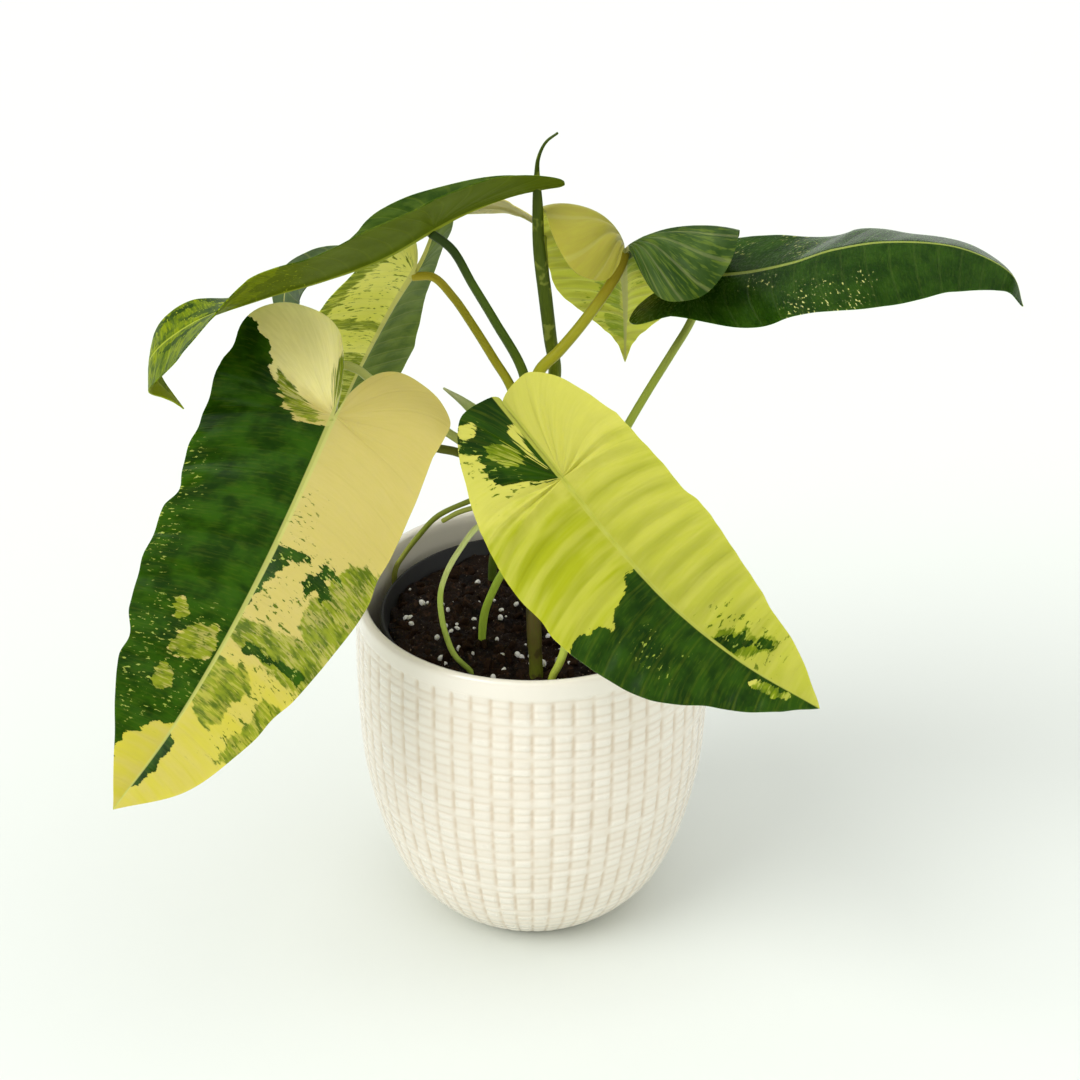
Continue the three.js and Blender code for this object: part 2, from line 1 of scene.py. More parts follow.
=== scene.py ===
# A potted variegated philodendron: a cream glazed pot, a black nursery pot inside it,
# potting mix with perlite, a short stem with aerial roots, and long-stalked leaves in
# dark green, lime and cream. Lengths are in millimetres until a mesh is made.
import math
import bpy
import numpy as np
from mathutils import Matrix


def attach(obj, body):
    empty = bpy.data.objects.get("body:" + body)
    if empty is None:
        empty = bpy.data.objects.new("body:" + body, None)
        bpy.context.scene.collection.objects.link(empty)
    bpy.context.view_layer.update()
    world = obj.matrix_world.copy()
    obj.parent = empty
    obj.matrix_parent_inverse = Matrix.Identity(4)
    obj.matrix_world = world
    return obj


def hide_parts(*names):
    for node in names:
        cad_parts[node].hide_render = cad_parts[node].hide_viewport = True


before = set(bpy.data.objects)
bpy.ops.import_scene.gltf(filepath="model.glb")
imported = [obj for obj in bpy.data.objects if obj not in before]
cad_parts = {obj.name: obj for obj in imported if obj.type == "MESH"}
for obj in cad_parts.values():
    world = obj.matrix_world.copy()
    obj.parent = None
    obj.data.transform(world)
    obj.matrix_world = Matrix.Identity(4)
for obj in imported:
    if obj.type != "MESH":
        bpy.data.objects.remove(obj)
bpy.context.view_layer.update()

# Studio: the camera of the photograph, a pale floor that runs out of view, a white sky that
# is brighter overhead and two large soft lamps, the stronger one high on the left in front.
CAMERA_PLACE = (0.0035, -0.9578, 0.7397)
CAMERA_DOWN = 29.7
FLOOR_REACH = 40
FLOOR_COLOUR = (0.755, 0.79, 0.74, 1)
GLOW_HEIGHTS = (0.05, 0.8)
GLOW_STRENGTHS = (0.16, 0.98)
camera = bpy.data.objects.new("studio_camera", bpy.data.cameras.new("studio_camera"))
bpy.context.scene.collection.objects.link(camera)
camera.location = CAMERA_PLACE
camera.rotation_euler = (math.radians(90 - CAMERA_DOWN), 0, 0)
camera.data.sensor_width = 36
camera.data.lens = 80
camera.data.clip_start = 0.05
bpy.context.scene.camera = camera
bpy.context.scene.view_settings.view_transform = "Standard"

floor_mesh = bpy.data.meshes.new("studio_floor")
floor_corners = [(x * FLOOR_REACH, y * FLOOR_REACH, 0) for x, y in ((-1, -1), (1, -1), (1, 1), (-1, 1))]
floor_mesh.from_pydata(floor_corners, [], [(0, 1, 2, 3)])
floor = bpy.data.objects.new("studio_floor", floor_mesh)
bpy.context.scene.collection.objects.link(floor)
floor_paint = bpy.data.materials.new("studio_floor")
floor_paint.use_nodes = True
matt = floor_paint.node_tree.nodes["Principled BSDF"].inputs
matt["Base Color"].default_value = FLOOR_COLOUR
matt["Roughness"].default_value = 0.9
matt["Specular IOR Level"].default_value = 0.0
floor_mesh.materials.append(floor_paint)

sky = bpy.data.worlds.new("studio_sky")
sky.use_nodes = True
sky.node_tree.nodes["Background"].inputs["Color"].default_value = (1, 1, 1, 1)
overhead = sky.node_tree.nodes.new("ShaderNodeTexCoord")
height = sky.node_tree.nodes.new("ShaderNodeSeparateXYZ")
glow = sky.node_tree.nodes.new("ShaderNodeMapRange")
glow.interpolation_type = "SMOOTHSTEP"
for socket, value in zip(glow.inputs[1:5], GLOW_HEIGHTS + GLOW_STRENGTHS):
    socket.default_value = value
link = sky.node_tree.links.new
link(overhead.outputs["Generated"], height.inputs[0])
link(height.outputs["Z"], glow.inputs[0])
link(glow.outputs[0], sky.node_tree.nodes["Background"].inputs["Strength"])
bpy.context.scene.world = sky

for name, strength, spread, tilt, turn in (
    ("key_lamp", 1.8, 42, 47, -58),
    ("fill_lamp", 0.6, 90, 42, 62),
):
    lamp = bpy.data.objects.new(name, bpy.data.lights.new(name, "SUN"))
    lamp.data.energy = strength
    lamp.data.angle = math.radians(spread)
    lamp.rotation_euler = (math.radians(tilt), 0, math.radians(turn))
    bpy.context.scene.collection.objects.link(lamp)


# Ceramic pot: thrown stoneware under a cream gloss glaze, pressed all over with upright
# bands crossed by fine uneven lines, like plaited cane. It stands on its flat foot.
POT_HEIGHT = 168
POT_WALL = 5
POT_FLOOR = 9
POT_LIP = 165
POT_COLUMNS = 56
LINE_GAP = 4.4
GROOVE_WIDTH = 0.13
GROOVE_DEPTH = 0.75
SEAM_WIDTH = 0.3
SEAM_DEPTH = 0.55
PATTERN_ENDS = (157, 160)
POT_OUTLINE = [(43, 0), (55, 10), (66, 25), (75, 50), (81.3, 84), (83, 126), (82, 165)]
GLAZE = (0.955, 0.9, 0.79)
GLAZE_CLOUDED = (0.93, 0.865, 0.735)
# Painted shade: the colour the glaze is darkened to at the bottoms of the grooves and seams.
GROOVE_PAINTED_SHADE = (0.78, 0.66, 0.5)


class Reading:
    """A value inside a finish. Sums and products of readings add Math nodes."""

    def __init__(self, finish, socket):
        self.finish = finish
        self.socket = socket

    def math(self, operation, *others):
        return self.finish.node("ShaderNodeMath", {"operation": operation}, dict(enumerate((self, *others))))

    def __add__(self, other):
        return self.math("ADD", other)

    def __radd__(self, other):
        return self.math("ADD", other)

    def __sub__(self, other):
        return self.math("SUBTRACT", other)

    def __rsub__(self, other):
        return self.finish.node("ShaderNodeMath", {"operation": "SUBTRACT"}, {0: other, 1: self})

    def __mul__(self, other):
        return self.math("MULTIPLY", other)

    def __rmul__(self, other):
        return self.math("MULTIPLY", other)

    def __truediv__(self, other):
        return self.math("DIVIDE", other)

    def edge(self, width):
        """0 below zero and 1 above it, going over within a width."""
        settings = {"interpolation_type": "SMOOTHSTEP"}
        return self.finish.node("ShaderNodeMapRange", settings, {0: self, 1: -width / 2, 2: width / 2})


class Finish:
    """A material on one principled shader, built from readings."""

    def __init__(self, name):
        self.material = bpy.data.materials.new(name)
        self.material.use_nodes = True
        self.tree = self.material.node_tree
        self.shader = self.tree.nodes["Principled BSDF"]

    def node(self, kind, settings=None, inputs=None, output=0):
        made = self.tree.nodes.new(kind)
        for key, value in (settings or {}).items():
            setattr(made, key, value)
        for key, value in (inputs or {}).items():
            self.feed(made.inputs[key], value)
        return Reading(self, made.outputs[output])

    def feed(self, socket, value):
        if isinstance(value, Reading):
            self.tree.links.new(value.socket, socket)
        elif isinstance(value, tuple) and len(value) == 3 and socket.type == "RGBA":
            socket.default_value = (*value, 1)
        else:
            socket.default_value = value

    def attribute(self, name):
        vector = self.node("ShaderNodeAttribute", {"attribute_name": name}, output="Vector")
        parts = self.node("ShaderNodeSeparateXYZ", None, {0: vector})
        outputs = parts.socket.node.outputs
        return [Reading(self, outputs[k]) for k in range(3)]

    def place(self):
        return self.node("ShaderNodeTexCoord", output="Object")

    def vector(self, x, y, z=0.0):
        return self.node("ShaderNodeCombineXYZ", None, {0: x, 1: y, 2: z})

    def noise(self, where, scale, detail=3.0, rough=0.55):
        values = {"Vector": where, "Scale": scale, "Detail": detail, "Roughness": rough}
        return self.node("ShaderNodeTexNoise", None, values)

    def mix(self, share, a, b):
        return self.node("ShaderNodeMix", {"data_type": "RGBA"}, {0: share, 6: a, 7: b}, output=2)

    def bump(self, height, distance, strength=1.0):
        values = {"Height": height, "Distance": distance, "Strength": strength}
        return self.node("ShaderNodeBump", None, values)

    def set(self, **values):
        names = {"colour": "Base Color", "roughness": "Roughness", "normal": "Normal", "coat": "Coat Weight",
                 "coat_roughness": "Coat Roughness", "specular": "Specular IOR Level",
                 "through": "Subsurface Weight", "through_radius": "Subsurface Radius",
                 "through_scale": "Subsurface Scale"}
        for key, value in values.items():
            self.feed(self.shader.inputs[names[key]], value)
        return self.material


def made_object(name, vertices, faces, material, replaces, sharp, corners=None):
    """A smooth-shaded piece from millimetre vertices, with its readings kept on its corners."""
    mesh = bpy.data.meshes.new(name)
    mesh.from_pydata(np.asarray(vertices, float) * 0.001, [], faces)
    for key, values in (corners or {}).items():
        values = np.asarray(values, float)
        layer = mesh.attributes.new(key, "FLOAT_VECTOR", "CORNER")
        layer.data.foreach_set("vector", values.ravel())
    mesh.materials.append(material)
    mesh.shade_smooth()
    mesh.set_sharp_from_angle(angle=math.radians(sharp))
    mesh.update()
    made = bpy.data.objects.new(name, mesh)
    bpy.context.scene.collection.objects.link(made)
    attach(made, "root")
    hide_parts(*replaces)


def along(values, u):
    """A smooth curve through evenly spread values, read at u from 0 to 1."""
    v = np.asarray(values, float)
    u = np.atleast_1d(np.asarray(u, float))
    last = len(v) - 1
    if last == 0:
        return np.full(u.shape, v[0])
    f = np.clip(u, 0, 1) * last
    k = np.minimum(last - 1, np.floor(f).astype(int))
    t = f - k
    b, c = v[k], v[k + 1]
    a = np.where(k > 0, v[np.maximum(k - 1, 0)], 2 * b - c)
    d = np.where(k < last - 1, v[np.minimum(k + 2, last)], 2 * c - b)
    return b + 0.5 * t * (c - a + t * (2 * a - 5 * b + 4 * c - d + t * (3 * (b - c) + d - a)))


def smoothstep(x, low, high):
    t = np.clip((np.asarray(x, float) - low) / (high - low), 0, 1)
    return t * t * (3 - 2 * t)


def scatter(k, seed=0.0):
    """A fixed number between 0 and 1 for each number k."""
    return np.mod(np.sin(np.asarray(k, float) * 12.9898 + seed * 78.233) * 43758.5453, 1.0)


def turned_faces(rings, segments):
    faces = []
    for i in range(rings - 1):
        for j in range(segments):
            n = (j + 1) % segments
            faces.append((i * segments + j, i * segments + n, (i + 1) * segments + n, (i + 1) * segments + j))
    return faces


def pot_radius(z):
    heights = [p[1] for p in POT_OUTLINE]
    radii = [p[0] for p in POT_OUTLINE]
    fine = np.linspace(0, 1, 241)
    return np.interp(z, along(heights, fine), along(radii, fine))


def pot_relief(turn, z):
    """Depth of the pressed pattern below the wall, at a turn of 0 to 1 and a height."""
    column = turn * POT_COLUMNS + 0.05 * np.sin(z * 0.16 + 9 * turn) + 0.025 * np.sin(z * 0.61 + 40 * turn)
    number = np.floor(column) % POT_COLUMNS
    across = np.abs(column - np.floor(column) - 0.5) * 2
    groove = np.exp(-(((1 - across) / GROOVE_WIDTH) ** 2))
    crown = 0.2 * across ** 4
    line = z / LINE_GAP + 0.22 * scatter(number, 1)
    line = line + 0.3 * np.sin(turn * 18.8 + z * 0.03) + 0.1 * np.sin(z * 0.35 + number)
    row = np.floor(line)
    beside = np.abs(line - row - 0.5) * 2
    seam = np.exp(-(((1 - beside) / SEAM_WIDTH) ** 2)) * (0.6 + 0.4 * scatter(row + 13 * number, 2))
    uneven = 0.22 * scatter(row * 3.7 + number * 1.9, 3) * (1 - beside ** 4)
    depth = np.maximum(GROOVE_DEPTH * groove, SEAM_DEPTH * seam) + crown + uneven
    return depth * smoothstep(z, 1.5, 5) * (1 - smoothstep(z, *PATTERN_ENDS))


SEGMENTS = POT_COLUMNS * 6
outer_z = np.concatenate([np.linspace(0, 160.5, 258), np.linspace(161.5, POT_LIP, 4)])
lip = float(pot_radius(POT_LIP))
rim = [(lip - 0.3, 166.6), (lip - 1.1, 167.6), (lip - 2.4, POT_HEIGHT), (lip - 3.7, 167.6),
       (lip - 4.6, 166.4)]
inner_z = np.array([162, 150, 134, 118, 100, 84, 66, 50, 36, 25, 17, POT_FLOOR + 3])
profile = [(0.001, 0), (20, 0), (float(pot_radius(0)) - 1, 0)]
profile += [(float(pot_radius(z)), float(z)) for z in outer_z]
profile += rim
profile += [(float(pot_radius(z)) - POT_WALL, float(z)) for z in inner_z]
profile += [(float(pot_radius(POT_FLOOR)) - POT_WALL - 3, POT_FLOOR), (20, POT_FLOOR), (0.001, POT_FLOOR)]
profile = np.array(profile)
turns = np.arange(SEGMENTS) / SEGMENTS
radius = np.repeat(profile[:, :1], SEGMENTS, 1)
depth = np.zeros_like(radius)
for ring in range(3, 3 + len(outer_z)):
    depth[ring] = pot_relief(turns, profile[ring, 1])
radius -= depth
angle = turns * 2 * math.pi
heights = np.repeat(profile[:, 1:], SEGMENTS, 1)
vertices = np.stack([radius * np.cos(angle), radius * np.sin(angle), heights], 2)
faces = turned_faces(len(profile), SEGMENTS)
faces.append(tuple(reversed(range(SEGMENTS))))
faces.append(tuple(range((len(profile) - 1) * SEGMENTS, len(profile) * SEGMENTS)))

glaze = Finish("cream_glaze")
hollow = glaze.attribute("relief")[0]
cloud = glaze.noise(glaze.place(), 14.0, 3.0)
fine = glaze.noise(glaze.place(), 420.0, 2.0)
colour = glaze.mix(cloud * 0.4, GLAZE, GLAZE_CLOUDED)
# The grooves and seams are painted darker the deeper they are: painted shade in the pressed pattern, over the
# cream glaze.
colour = glaze.mix((hollow * 1.1).math("MINIMUM", 1.0), colour, GROOVE_PAINTED_SHADE)
glaze.set(colour=colour, roughness=0.22 + hollow * 0.2 + cloud * 0.08, coat=0.5, coat_roughness=0.08,
          normal=glaze.bump(fine, 0.00012, 0.35))
flat_depth = depth.ravel()
relief = [(flat_depth[v], 0, 0) for face in faces for v in face]
made_object("glazed_pot", vertices.reshape(-1, 3), faces, glaze.material,
            replaces=["cachepot"], corners={"relief": relief}, sharp=70)


# Nursery pot: a thin black plastic pot with a turned-out lip, moulded in one piece. It
# stands loose on the glazed pot's floor and holds the potting mix.
NURSERY_FOOT = 9.3
NURSERY_TOP = 156.3
profile = np.array([
    (0.001, NURSERY_FOOT), (41, NURSERY_FOOT), (43, NURSERY_FOOT + 1.5), (69.5, NURSERY_TOP - 7),
    (70.9, NURSERY_TOP - 6.6), (70.9, NURSERY_TOP - 0.8), (70.3, NURSERY_TOP), (69.6, NURSERY_TOP),
    (68.9, NURSERY_TOP - 0.7), (41.6, NURSERY_FOOT + 2.6), (40.6, NURSERY_FOOT + 1.6),
    (0.001, NURSERY_FOOT + 1.6),
])
NURSERY_SIDES = 192
angle = np.arange(NURSERY_SIDES) / NURSERY_SIDES * 2 * math.pi
heights = np.repeat(profile[:, 1:], NURSERY_SIDES, 1)
vertices = np.stack([profile[:, :1] * np.cos(angle), profile[:, :1] * np.sin(angle), heights], 2)
faces = turned_faces(len(profile), NURSERY_SIDES)
faces.append(tuple(reversed(range(NURSERY_SIDES))))
faces.append(tuple(range((len(profile) - 1) * NURSERY_SIDES, len(profile) * NURSERY_SIDES)))
plastic = Finish("black_plastic")
dust = plastic.noise(plastic.place(), 60.0, 4.0)
scuff = plastic.noise(plastic.place(), 700.0, 2.0)
plastic.set(colour=plastic.mix(dust, (0.006, 0.006, 0.006), (0.02, 0.02, 0.02)), specular=0.3,
            roughness=0.3 + dust * 0.25, normal=plastic.bump(scuff, 0.0001, 0.3))
made_object("nursery_pot_shell", vertices.reshape(-1, 3), faces, plastic.material,
            replaces=["nursery_pot"], sharp=35)


# Potting mix: moist peat with bark chips and white perlite grains. It fills the nursery
# pot, lumpy on top, with the stem and three aerial roots standing in it.
SOIL_LEVEL = 151
SOIL_RADIUS = 67.2


def soil_height(x, y):
    lump = np.sin(x * 0.31 + 1.3 * np.sin(y * 0.23)) * np.cos(y * 0.37 + 1.1 * np.sin(x * 0.29))
    clods = 0.9 * np.sin(x * 0.83 + 2 * np.sin(y * 0.71)) * np.sin(y * 0.77 + 1.7 * np.sin(x * 0.64))
    crumbs = 0.45 * np.sin(x * 2.3 + 2.2 * np.sin(y * 1.9)) * np.sin(y * 2.1 + 2 * np.sin(x * 1.7))
    return SOIL_LEVEL - 0.6 + 1.9 * lump + clods + crumbs - 1.5 * (np.hypot(x, y) / SOIL_RADIUS) ** 4


rings = np.linspace(0.0, 1.0, 90)[1:] * SOIL_RADIUS
SOIL_SIDES = 200
angle = np.arange(SOIL_SIDES) / SOIL_SIDES * 2 * math.pi
x = rings[::-1, None] * np.cos(angle)
y = rings[::-1, None] * np.sin(angle)
top = np.stack([x, y, soil_height(x, y)], 2)
SOIL_BELOW = [(0.001, 12), (40, 12), (66.6, 143)]
below = [[(r * math.cos(a), r * math.sin(a), z) for a in angle] for r, z in SOIL_BELOW]
rows = np.concatenate([np.array(below), top], 0)
faces = turned_faces(len(rows), SOIL_SIDES)
faces.append(tuple(reversed(range(SOIL_SIDES))))
faces.append(tuple(range((len(rows) - 1) * SOIL_SIDES, len(rows) * SOIL_SIDES)))
mix = Finish("potting_mix")
clump = mix.noise(mix.place(), 90.0, 5.0, 0.65)
speck = mix.noise(mix.place(), 700.0, 3.0, 0.6)
bark = mix.noise(mix.place(), 230.0, 4.0, 0.6)
colour = mix.mix((clump - 0.45).edge(0.25), (0.003, 0.0016, 0.0008), (0.014, 0.0065, 0.003))
colour = mix.mix((bark - 0.6).edge(0.08), colour, (0.04, 0.018, 0.008))
colour = mix.mix((speck - 0.68).edge(0.05), colour, (0.2, 0.15, 0.11))
mix.set(colour=colour, specular=0.12, roughness=0.95 - (speck - 0.4).edge(0.3) * 0.35,
        normal=mix.bump(clump * 0.6 + bark * 0.4 + speck * 0.25, 0.0022, 1.0))
made_object("potting_mix", rows.reshape(-1, 3), faces, mix.material, replaces=["potting_soil"],
            sharp=80)


# Perlite and bark chips: white puffed grains and flat dark chips of bark, stirred into the
# peat when the plant was potted. They lie loose on top, the white ones crowded in places.
BED_RINGS = 40
BED_SIDES = 96


def strewn_tree():
    """Geometry nodes that strew lumps over faces, more of them where the bed's crowd is high."""
    tree = bpy.data.node_groups.new("strewn_lumps", "GeometryNodeTree")
    face = tree.interface
    face.new_socket("Bed", in_out="INPUT", socket_type="NodeSocketGeometry")
    for name in ("Per square metre", "Smallest", "Largest", "Flatness", "Roughness"):
        face.new_socket(name, in_out="INPUT", socket_type="NodeSocketFloat")
    face.new_socket("Seed", in_out="INPUT", socket_type="NodeSocketInt")
    face.new_socket("Material", in_out="INPUT", socket_type="NodeSocketMaterial")
    face.new_socket("Lumps", in_out="OUTPUT", socket_type="NodeSocketGeometry")
    nodes = tree.nodes
    link = tree.links.new
    start = nodes.new("NodeGroupInput")
    end = nodes.new("NodeGroupOutput")
    crowd = nodes.new("GeometryNodeInputNamedAttribute")
    crowd.data_type = "FLOAT"
    crowd.inputs["Name"].default_value = "crowd"
    density = nodes.new("ShaderNodeMath")
    density.operation = "MULTIPLY"
    link(start.outputs["Per square metre"], density.inputs[0])
    link(crowd.outputs["Attribute"], density.inputs[1])
    points = nodes.new("GeometryNodeDistributePointsOnFaces")
    link(start.outputs["Bed"], points.inputs["Mesh"])
    link(density.outputs[0], points.inputs["Density"])
    link(start.outputs["Seed"], points.inputs["Seed"])
    lump = nodes.new("GeometryNodeMeshIcoSphere")
    lump.inputs["Radius"].default_value = 1.0
    lump.inputs["Subdivisions"].default_value = 3
    size = nodes.new("FunctionNodeRandomValue")
    link(start.outputs["Smallest"], size.inputs[2])
    link(start.outputs["Largest"], size.inputs[3])
    link(start.outputs["Seed"], size.inputs["Seed"])
    turn = nodes.new("FunctionNodeRandomValue")
    turn.data_type = "FLOAT_VECTOR"
    turn.inputs[1].default_value = (math.tau, math.tau, math.tau)
    link(start.outputs["Seed"], turn.inputs["Seed"])
    flat = nodes.new("ShaderNodeCombineXYZ")
    link(size.outputs[1], flat.inputs[0])
    thin = nodes.new("ShaderNodeMath")
    thin.operation = "MULTIPLY"
    link(size.outputs[1], thin.inputs[0])
    link(start.outputs["Flatness"], thin.inputs[1])
    half = nodes.new("ShaderNodeMath")
    half.operation = "MULTIPLY"
    half.inputs[1].default_value = 0.75
    link(size.outputs[1], half.inputs[0])
    link(half.outputs[0], flat.inputs[1])
    link(thin.outputs[0], flat.inputs[2])
    place = nodes.new("GeometryNodeInstanceOnPoints")
    link(points.outputs["Points"], place.inputs["Points"])
    link(lump.outputs["Mesh"], place.inputs["Instance"])
    link(turn.outputs[0], place.inputs["Rotation"])
    link(flat.outputs[0], place.inputs["Scale"])
    real = nodes.new("GeometryNodeRealizeInstances")
    link(place.outputs[0], real.inputs[0])
    bend = nodes.new("ShaderNodeTexNoise")
    bend.inputs["Scale"].default_value = 620.0
    bend.inputs["Detail"].default_value = 2.0
    centred = nodes.new("ShaderNodeVectorMath")
    centred.operation = "SUBTRACT"
    centred.inputs[1].default_value = (0.5, 0.5, 0.5)
    link(bend.outputs["Color"], centred.inputs[0])
    scaled = nodes.new("ShaderNodeVectorMath")
    scaled.operation = "SCALE"
    link(centred.outputs[0], scaled.inputs[0])
    link(start.outputs["Roughness"], scaled.inputs["Scale"])
    shift = nodes.new("GeometryNodeSetPosition")
    link(real.outputs[0], shift.inputs["Geometry"])
    link(scaled.outputs[0], shift.inputs["Offset"])
    smooth = nodes.new("GeometryNodeSetShadeSmooth")
    link(shift.outputs[0], smooth.inputs[0])
    paint = nodes.new("GeometryNodeSetMaterial")
    link(smooth.outputs[0], paint.inputs["Geometry"])
    link(start.outputs["Material"], paint.inputs["Material"])
    link(paint.outputs[0], end.inputs[0])
    return tree


STREW = strewn_tree()


def strewn(name, crowd_at, material, slot, sink, **inputs):
    """Lumps strewn over the soil's top, as one plain mesh that rides with the soil."""
    ring = np.linspace(0.02, 0.97, BED_RINGS) * SOIL_RADIUS
    angle = np.arange(BED_SIDES) / BED_SIDES * 2 * math.pi
    x = ring[::-1, None] * np.cos(angle)
    y = ring[::-1, None] * np.sin(angle)
    places = np.stack([x, y, soil_height(x, y) - sink], 2).reshape(-1, 3)
    bed_mesh = bpy.data.meshes.new(name)
    bed_mesh.from_pydata(places * 0.001, [], turned_faces(BED_RINGS, BED_SIDES))
    layer = bed_mesh.attributes.new("crowd", "FLOAT", "POINT")
    layer.data.foreach_set("value", crowd_at(places[:, 0], places[:, 1]))
    bed = bpy.data.objects.new(name, bed_mesh)
    bpy.context.scene.collection.objects.link(bed)
    strew = bed.modifiers.new("strew", "NODES")
    strew.node_group = STREW
    inputs["Material"] = material
    for item in STREW.interface.items_tree:
        if item.in_out == "INPUT" and item.name in inputs:
            strew[item.identifier] = inputs[item.name]
    bpy.context.view_layer.update()
    seen = bed.evaluated_get(bpy.context.evaluated_depsgraph_get())
    plain = bpy.data.meshes.new_from_object(seen)
    plain.name = name
    bed.modifiers.clear()
    bed.data = plain
    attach(bed, "root")


def near(x, y, places):
    """How crowded a spot is: 1 at each (x, y, reach) place, falling off round it."""
    return sum(np.exp(-((x - px) ** 2 + (y - py) ** 2) / reach ** 2) for px, py, reach in places)


perlite = Finish("perlite")
grain = perlite.noise(perlite.place(), 900.0, 3.0)
perlite.set(colour=perlite.mix((grain - 0.35).edge(0.3), (0.45, 0.42, 0.37), (0.86, 0.85, 0.81)),
            roughness=0.85, normal=perlite.bump(grain, 0.0003, 0.7))
CLUSTERS = [(-25, 10, 16), (-46, -2, 14), (-20, -25, 14), (-33, -33, 10), (-2, -36, 12), (-52, 16, 8),
            (15, -40, 12)]
strewn("perlite_grains", lambda x, y: 0.25 + 0.9 * near(x, y, CLUSTERS), perlite.material, "soil", -0.3,
       **{"Per square metre": 8000.0, "Smallest": 0.0005, "Largest": 0.002, "Flatness": 0.8,
          "Roughness": 0.0006, "Seed": 4})
chips = Finish("bark_chips")
fibre = chips.noise(chips.place(), 500.0, 4.0)
chips.set(colour=chips.mix(fibre, (0.005, 0.0025, 0.0012), (0.035, 0.016, 0.007)), roughness=0.9,
          specular=0.12, normal=chips.bump(fibre, 0.0006, 0.8))
strewn("bark_chips", lambda x, y: 0.8 + 0 * x, chips.material, "soil", 0.5,
       **{"Per square metre": 26000.0, "Smallest": 0.0012, "Largest": 0.0042, "Flatness": 0.35,
          "Roughness": 0.0016, "Seed": 9})


# Main stem: a short green climbing stem, with a dry papery leaf scar low down. It grows
# out of the potting mix at the front and leans back under the leaves.
STEM = [(2, -50, 137), (1.7, -48, 155), (0.8, -43, 175), (1, -34, 189), (0, -20, 210), (-1.5, -10, 238),
        (-1, -4, 264)]


def smooth_path(points, count):
    """Evenly spaced places and directions on one smooth curve through the points."""
    p = np.array(points, float)
    p = np.concatenate([[2 * p[0] - p[1]], p, [2 * p[-1] - p[-2]]])
    t = np.linspace(0, 1, 41)[:, None]
    pieces = []
    for a, b, c, d in zip(p, p[1:], p[2:], p[3:]):
        s0, s1, s2 = (np.linalg.norm(v) ** 0.5 for v in (b - a, c - b, d - c))
        m1 = ((b - a) / s0 - (c - a) / (s0 + s1) + (c - b) / s1) * s1
        m2 = ((c - b) / s1 - (d - b) / (s1 + s2) + (d - c) / s2) * s1
        pieces.append(b + m1 * t + (3 * (c - b) - 2 * m1 - m2) * t ** 2 + (2 * (b - c) + m1 + m2) * t ** 3)
    fine = np.concatenate([pieces[0]] + [piece[1:] for piece in pieces[1:]])
    reach = np.concatenate([[0], np.cumsum(np.linalg.norm(np.diff(fine, axis=0), axis=1))])
    stops = np.linspace(0, reach[-1], count + 1)
    places = np.stack([np.interp(stops, reach, fine[:, k]) for k in range(3)], 1)
    ways = np.gradient(places, axis=0)
    return places, ways / np.linalg.norm(ways, axis=1, keepdims=True), reach[-1]


def grown_tube(points, radii, sides=20, steps=90, ridges=0, ridge=0.0, knobs=0.0, seed=0):
    """A closed round body along a curve, with fine lengthwise ridges and slow swellings."""
    places, ways, length = smooth_path(points, steps)
    normal = np.cross(ways[0], (0.3, 0.2, 1.0))
    vertices = []
    readings = []
    for i, (place, way) in enumerate(zip(places, ways)):
        normal = normal - way * normal.dot(way)
        normal /= np.linalg.norm(normal)
        other = np.cross(way, normal)
        u = i / steps
        swelling = knobs * math.sin(u * length * 0.21 + seed) * math.sin(u * length * 0.083)
        radius = along(radii, u)[0] * (1 + swelling)
        for j in range(sides):
            a = j / sides * math.tau
            r = radius * (1 + ridge * math.cos(ridges * a))
            vertices.append(place + normal * r * math.cos(a) + other * r * math.sin(a))
            readings.append((u, u * length, j / sides))
    cap = min(0.6, radii[-1] * 0.4)
    faces = turned_faces(steps + 1, sides)
    vertices.append(places[0] - ways[0] * cap)
    vertices.append(places[-1] + ways[-1] * cap)
    readings.append((0, 0, 0))
    readings.append((1, length, 0))
    first, last = len(vertices) - 2, len(vertices) - 1
    for j in range(sides):
        n = (j + 1) % sides
        faces.append((first, n, j))
        faces.append((last, steps * sides + j, steps * sides + n))
    return vertices, faces, [readings[v] for face in faces for v in face]


def skin(name, colours, streak=0.35, rough=0.34, blotch=None):
    """A fleshy green skin that changes colour from one end to the other, finely streaked."""
    finish = Finish(name)
    share, _, turn = finish.attribute("run")
    line = finish.vector(share * 4.0, turn * 9.0, 0.0)
    where = finish.place()
    patch = finish.noise(where, 90.0, 3.0)
    thread = finish.noise(line, 6.0, 3.0)
    colour = colours[0]
    for k, next_colour in enumerate(colours[1:]):
        stop = (k + 0.5) / (len(colours) - 1)
        passed = (share - stop + (patch - 0.5) * 0.25).edge(0.8 / len(colours))
        colour = finish.mix(passed, colour, next_colour)
    shade = tuple(c * 0.65 for c in colours[-1])
    colour = finish.mix((thread - 0.5).edge(0.3) * streak, colour, shade)
    if blotch:
        colour = finish.mix((patch - 0.58).edge(0.06), colour, blotch)
    pore = finish.noise(where, 1300.0, 2.0)
    return finish.set(colour=colour, roughness=rough + patch * 0.15, specular=0.12,
                      normal=finish.bump(pore + thread * 0.6, 0.0001, 0.5))


def grown(name, points, radii, material, slot, node, **shape):
    vertices, faces, readings = grown_tube(points, radii, **shape)
    made_object(name, vertices, faces, material, replaces=[node], corners={"run": readings},
                sharp=80)


STEM_COLOURS = [(0.12, 0.14, 0.012), (0.1, 0.07, 0.02), (0.07, 0.11, 0.008), (0.12, 0.19, 0.015)]
stem_skin = skin("stem_skin", STEM_COLOURS, blotch=(0.06, 0.05, 0.012))
grown("main_stem_grown", STEM, [3.2, 3.2, 3.5, 4.2, 4.8, 5, 4.6], stem_skin, "stem", "main_stem",
      sides=28, steps=120, ridges=9, ridge=0.012, knobs=0.04)


